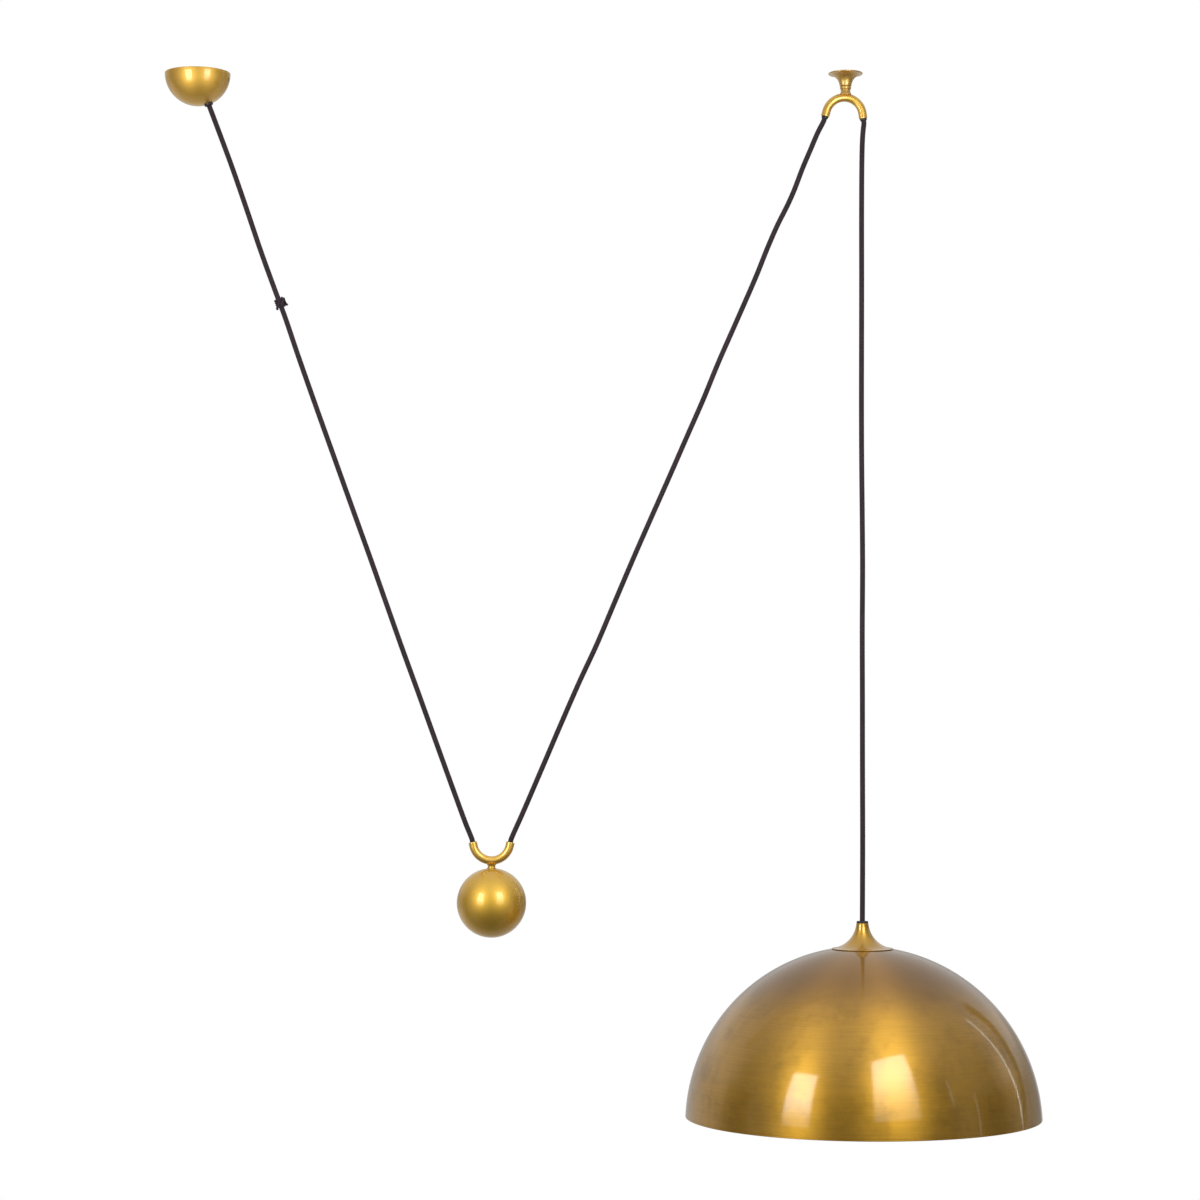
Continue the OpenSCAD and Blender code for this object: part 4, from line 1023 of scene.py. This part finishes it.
def core_line(start, way, pull, entry, entry_way, entry_pull, deep, steps=22):
    """From the sheath's cut end, round a soft curve, straight into the terminal; in mm."""
    start, way, entry, entry_way = (Vector(v) for v in (start, way, entry, entry_way))
    first = start + 1.2 * way
    line = [start]
    for i in range(steps + 1):
        t, u = i / steps, 1 - i / steps
        line.append(
            u ** 3 * first + 3 * u * u * t * (first + pull * way)
            + 3 * u * t * t * (entry - entry_pull * entry_way) + t ** 3 * entry
        )
    return line + [entry + deep * entry_way]


def in_strap(x, y, z):
    """A point or direction given square to the ceiling strap."""
    return Matrix.Rotation(STRAP_TURN, 3, "Z") @ Vector((x, y, z))


def in_lamp(x, y, z):
    """A point counted from the dome's top."""
    return Vector(lamp_seat) + Vector((x, y, z))


def sheath_end(i, tilt, centre):
    """Where core i leaves the sheath's cut end, whose middle is at centre."""
    spot = Vector((math.cos(2 * math.pi * i / 3), math.sin(2 * math.pi * i / 3), 0)) * CORE_RING_R
    return Matrix.Rotation(tilt, 3, "Y") @ spot + centre


BLOCK_ENTRY_X, BLOCK_ENTRY_Z, POLE_Y = -0.5, -7.05, 4.5
TERMINAL_X, TERMINAL_Z = 5, -19.32
canopy_cut = (CANOPY_SHEATH_END - CUT_GAP) * exit_way
lamp_cut = in_lamp(0, 0, LAMP_SHEATH_END - CUT_GAP)
canopy_ends = [sheath_end(i, math.radians(-CORD_EXIT), canopy_cut) for i in range(3)]
lamp_ends = [sheath_end(i, 0, lamp_cut) for i in range(3)]
inwards, to_block, lamp_down = -exit_way, in_strap(-1, 0, 0), (0, 0, -1)
cores = (
    ("canopy_live_core", "core_brown", "ceiling", core_line(
        canopy_ends[2], inwards, 9,
        in_strap(BLOCK_ENTRY_X, -POLE_Y, BLOCK_ENTRY_Z), to_block, 7, 4.5)),
    ("canopy_neutral_core", "core_blue", "ceiling", core_line(
        canopy_ends[1], inwards, 9,
        in_strap(BLOCK_ENTRY_X, POLE_Y, BLOCK_ENTRY_Z), to_block, 7, 4.5)),
    ("canopy_earth_core", "core_green", "ceiling", core_line(
        canopy_ends[0], inwards, 9, in_strap(9, 4.3, -3.25), in_strap(0, -1, 0), 9, 1.5)),
    ("lamp_live_core", "core_brown", "lamp", core_line(
        lamp_ends[0], lamp_down, 3, in_lamp(TERMINAL_X, 0, TERMINAL_Z), (1, 0, 0), 3, 3.3)),
    ("lamp_neutral_core", "core_blue", "lamp", core_line(
        lamp_ends[1], lamp_down, 3, in_lamp(-TERMINAL_X, 0, TERMINAL_Z), (-1, 0, 0), 3, 3.3)),
    ("lamp_earth_core", "core_green", "lamp", core_line(
        lamp_ends[2], lamp_down, 4, in_lamp(0, -8.2, -11.87), (0, -1, 0), 4, 1)),
)
insulation = {
    "core_brown": moulded("brown_insulation", (0.16, 0.06, 0.02)),
    "core_blue": moulded("blue_insulation", (0.02, 0.10, 0.40)),
    "core_green": moulded("green_insulation", (0.12, 0.35, 0.03)),
}
for node, slot, body, line in cores:
    route = [p * MM for p in line]
    core = cord_piece(node, route, insulation[slot], diameter=CORE_D * MM, sides=16)
    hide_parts(node)
    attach(core, body)


# ---- Fittings ----
# The strap, terminals, screws, nuts and washers keep their CAD shapes: zinc plated steel, bare
# brass, black and off-white mouldings, and a rubber seal.


def dress(material, *nodes):
    """Gives CAD nodes that stay visible their finish."""
    for node in nodes:
        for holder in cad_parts[node].material_slots:
            holder.material = material


dress(plain_metal("zinc_plate", (0.66, 0.67, 0.68), (0.50, 0.51, 0.53), 0.30),
      "ceiling_strap", "terminal_screws", "block_screw", "nipple", "lock_nut", "upper_washer",
      "lower_washer", "holder_terminal_screws", "holder_earth_screw")
dress(CONTACT_BRASS, "terminal_tubes", "centre_contact", "holder_terminals", "strap_earth_screw")
dress(plain_metal("dark_brass", (0.34, 0.23, 0.09), (0.16, 0.10, 0.04), 0.38), "side_screws")
dress(BLACK, "canopy_bush_nut")
dress(moulded("black_rubber", (0.018, 0.018, 0.018), 0.62, 0.5), "grip_seal")
dress(moulded("off_white_moulding", (0.82, 0.81, 0.77), 0.34), "canopy_cord_tie", "terminal_block")


# ---- Studio ----
# A white background, a pale floor, two tall soft boxes in front and three strip lights at the
# right. The metal mirrors a dim room with a pale backdrop behind it and dark flags in it.
# Bearings are degrees from straight behind the pendant towards the right.

world = bpy.data.worlds.new("studio")
scene.world = world
world.use_nodes = True
w = Tree(world.node_tree)
side, back, up = w.parts(w.add("ShaderNodeTexCoord", {}))
bearing = w.add("ShaderNodeMath", {"operation": "ARCTAN2"}, side, back) * math.degrees(1)
height = w.add("ShaderNodeMath", {"operation": "ARCSINE"}, up) * math.degrees(1)


def between(value, low, high, soft):
    """1 from low to high, 0 outside, with soft edges."""
    return value.over(low - soft, low + soft) * (1 - value.over(high - soft, high + soft))


below = (up * -1).over(0.2, 0.9)
backdrop = back.over(0.0, 0.42) * (0.5 + (height * height).over(0, 200) * 0.5)
ahead = (back * -1).over(0.55, 0.95) * (1 - up.over(0.3, 0.6))
wings = between(bearing * bearing, 90 ** 2, 124 ** 2, 1200) * (1 - up.over(0.45, 0.75))
room = 0.2 + up.over(0.3, 0.95) * 0.62 - below * 0.12 - ahead * 0.055 + wings * 0.13
sloped_top = 1 - (height - bearing * 0.1).over(3, 7)
right_flag = between(bearing, 64, 108, 2) * sloped_top * height.over(-50, -20)
left_flag = between(bearing, -95, -71, 1.5) * (1 - height.over(14, 18)) * height.over(-50, -20)
edge_flag = between(bearing, 52, 62.5, 1) * (1 - height.over(22, 32)) * height.over(-30, -10)
low_flag = between(bearing, 22, 52, 4) * (1 - height.over(3, 11)) * height.over(-40, -15)
bow = 59 - height * 0.85 + height * height * 0.0165
bowed_flag = between(bearing - bow, -3.5, 3.5, 0.8) * between(height, -10, 36, 4)
level = room * (1 - backdrop) + backdrop * (0.72 - below * 0.3)
for flag, depth in (
    (right_flag, 0.6), (left_flag, 0.5), (edge_flag, 0.45), (low_flag, 0.5), (bowed_flag, 0.92),
):
    level = level * (1 - flag * depth)
seen = w.add("ShaderNodeLightPath", {})
w.join(world.node_tree.nodes["Background"], (), {
    "Color": (1, 1, 1, 1), "Strength": seen + (1 - seen) * level,
})

FLOOR_Z, FLOOR_R, FLOOR_SIDES, STUDIO_X = -2.4, 3.2, 96, 0.5
pale = Finish("pale_floor", Base_Color=(0.62, 0.62, 0.62, 1), Roughness=0.9)
glow = pale.add("ShaderNodeEmission", {}, (1, 1, 1, 1), 1.0)
x, y, _ = pale.parts(pale.place(STUDIO_X))
edge = ((x * x + y * y) ** 0.5).over(1.2, 3.0)
camera_ray = pale.add("ShaderNodeLightPath", {})
shown = pale.add(
    "ShaderNodeMixShader", {}, camera_ray * (0.8 + edge * 0.2),
    Value(pale, pale.surface.outputs[0]), glow,
)
pale.join(pale.tree.nodes["Material Output"], (shown,), {})
spots = [2 * math.pi * k / FLOOR_SIDES for k in range(FLOOR_SIDES)]
floor = mesh_piece(
    "floor", [(STUDIO_X + FLOOR_R * math.cos(a), FLOOR_R * math.sin(a), FLOOR_Z) for a in spots],
    [tuple(range(FLOOR_SIDES))], pale.material,
)
floor.visible_glossy = False


def soft_box(name, place, width, height, power, fade):
    """A tall box or strip of light, upright, that faces the pendant and fades to its foot."""
    box = bpy.data.objects.new(name, bpy.data.lights.new(name, "AREA"))
    box.data.shape, box.data.size, box.data.size_y = "RECTANGLE", width, height
    box.data.energy = power
    box.data.use_nodes = True
    cloth = Tree(box.data.node_tree)
    across, up, _ = cloth.parts(cloth.add("ShaderNodeNewGeometry", {}, out=5))
    sides = (across * (1 - across) * 4).over(-0.2, 0.35)
    strength = sides * (0.24 + up.over(0.05, fade) * 0.76)
    cloth.join(cloth.tree.nodes["Emission"], (), {"Strength": strength})
    box.location = place
    aim = Vector((STUDIO_X, 0, place[2])) - Vector(place)
    box.rotation_euler = aim.to_track_quat("-Z", "Y").to_euler()
    box.visible_camera = False
    scene.collection.objects.link(box)


soft_box("left_box", (-0.60, -1.35, -0.56), 0.66, 1.2, 19.5, 0.42)
soft_box("right_box", (1.17, -1.28, -0.48), 0.70, 1.2, 19.5, 0.65)
soft_box("far_strip", (3.69, 1.27, -0.34), 0.055, 3.3, 2.6, 0.3)
soft_box("side_strip", (3.87, -0.97, -1.17), 0.04, 1.66, 0.5, 0.2)
soft_box("near_strip", (3.46, -1.83, -0.08), 0.045, 0.96, 0.34, 0.3)

scene.view_settings.view_transform = "Standard"
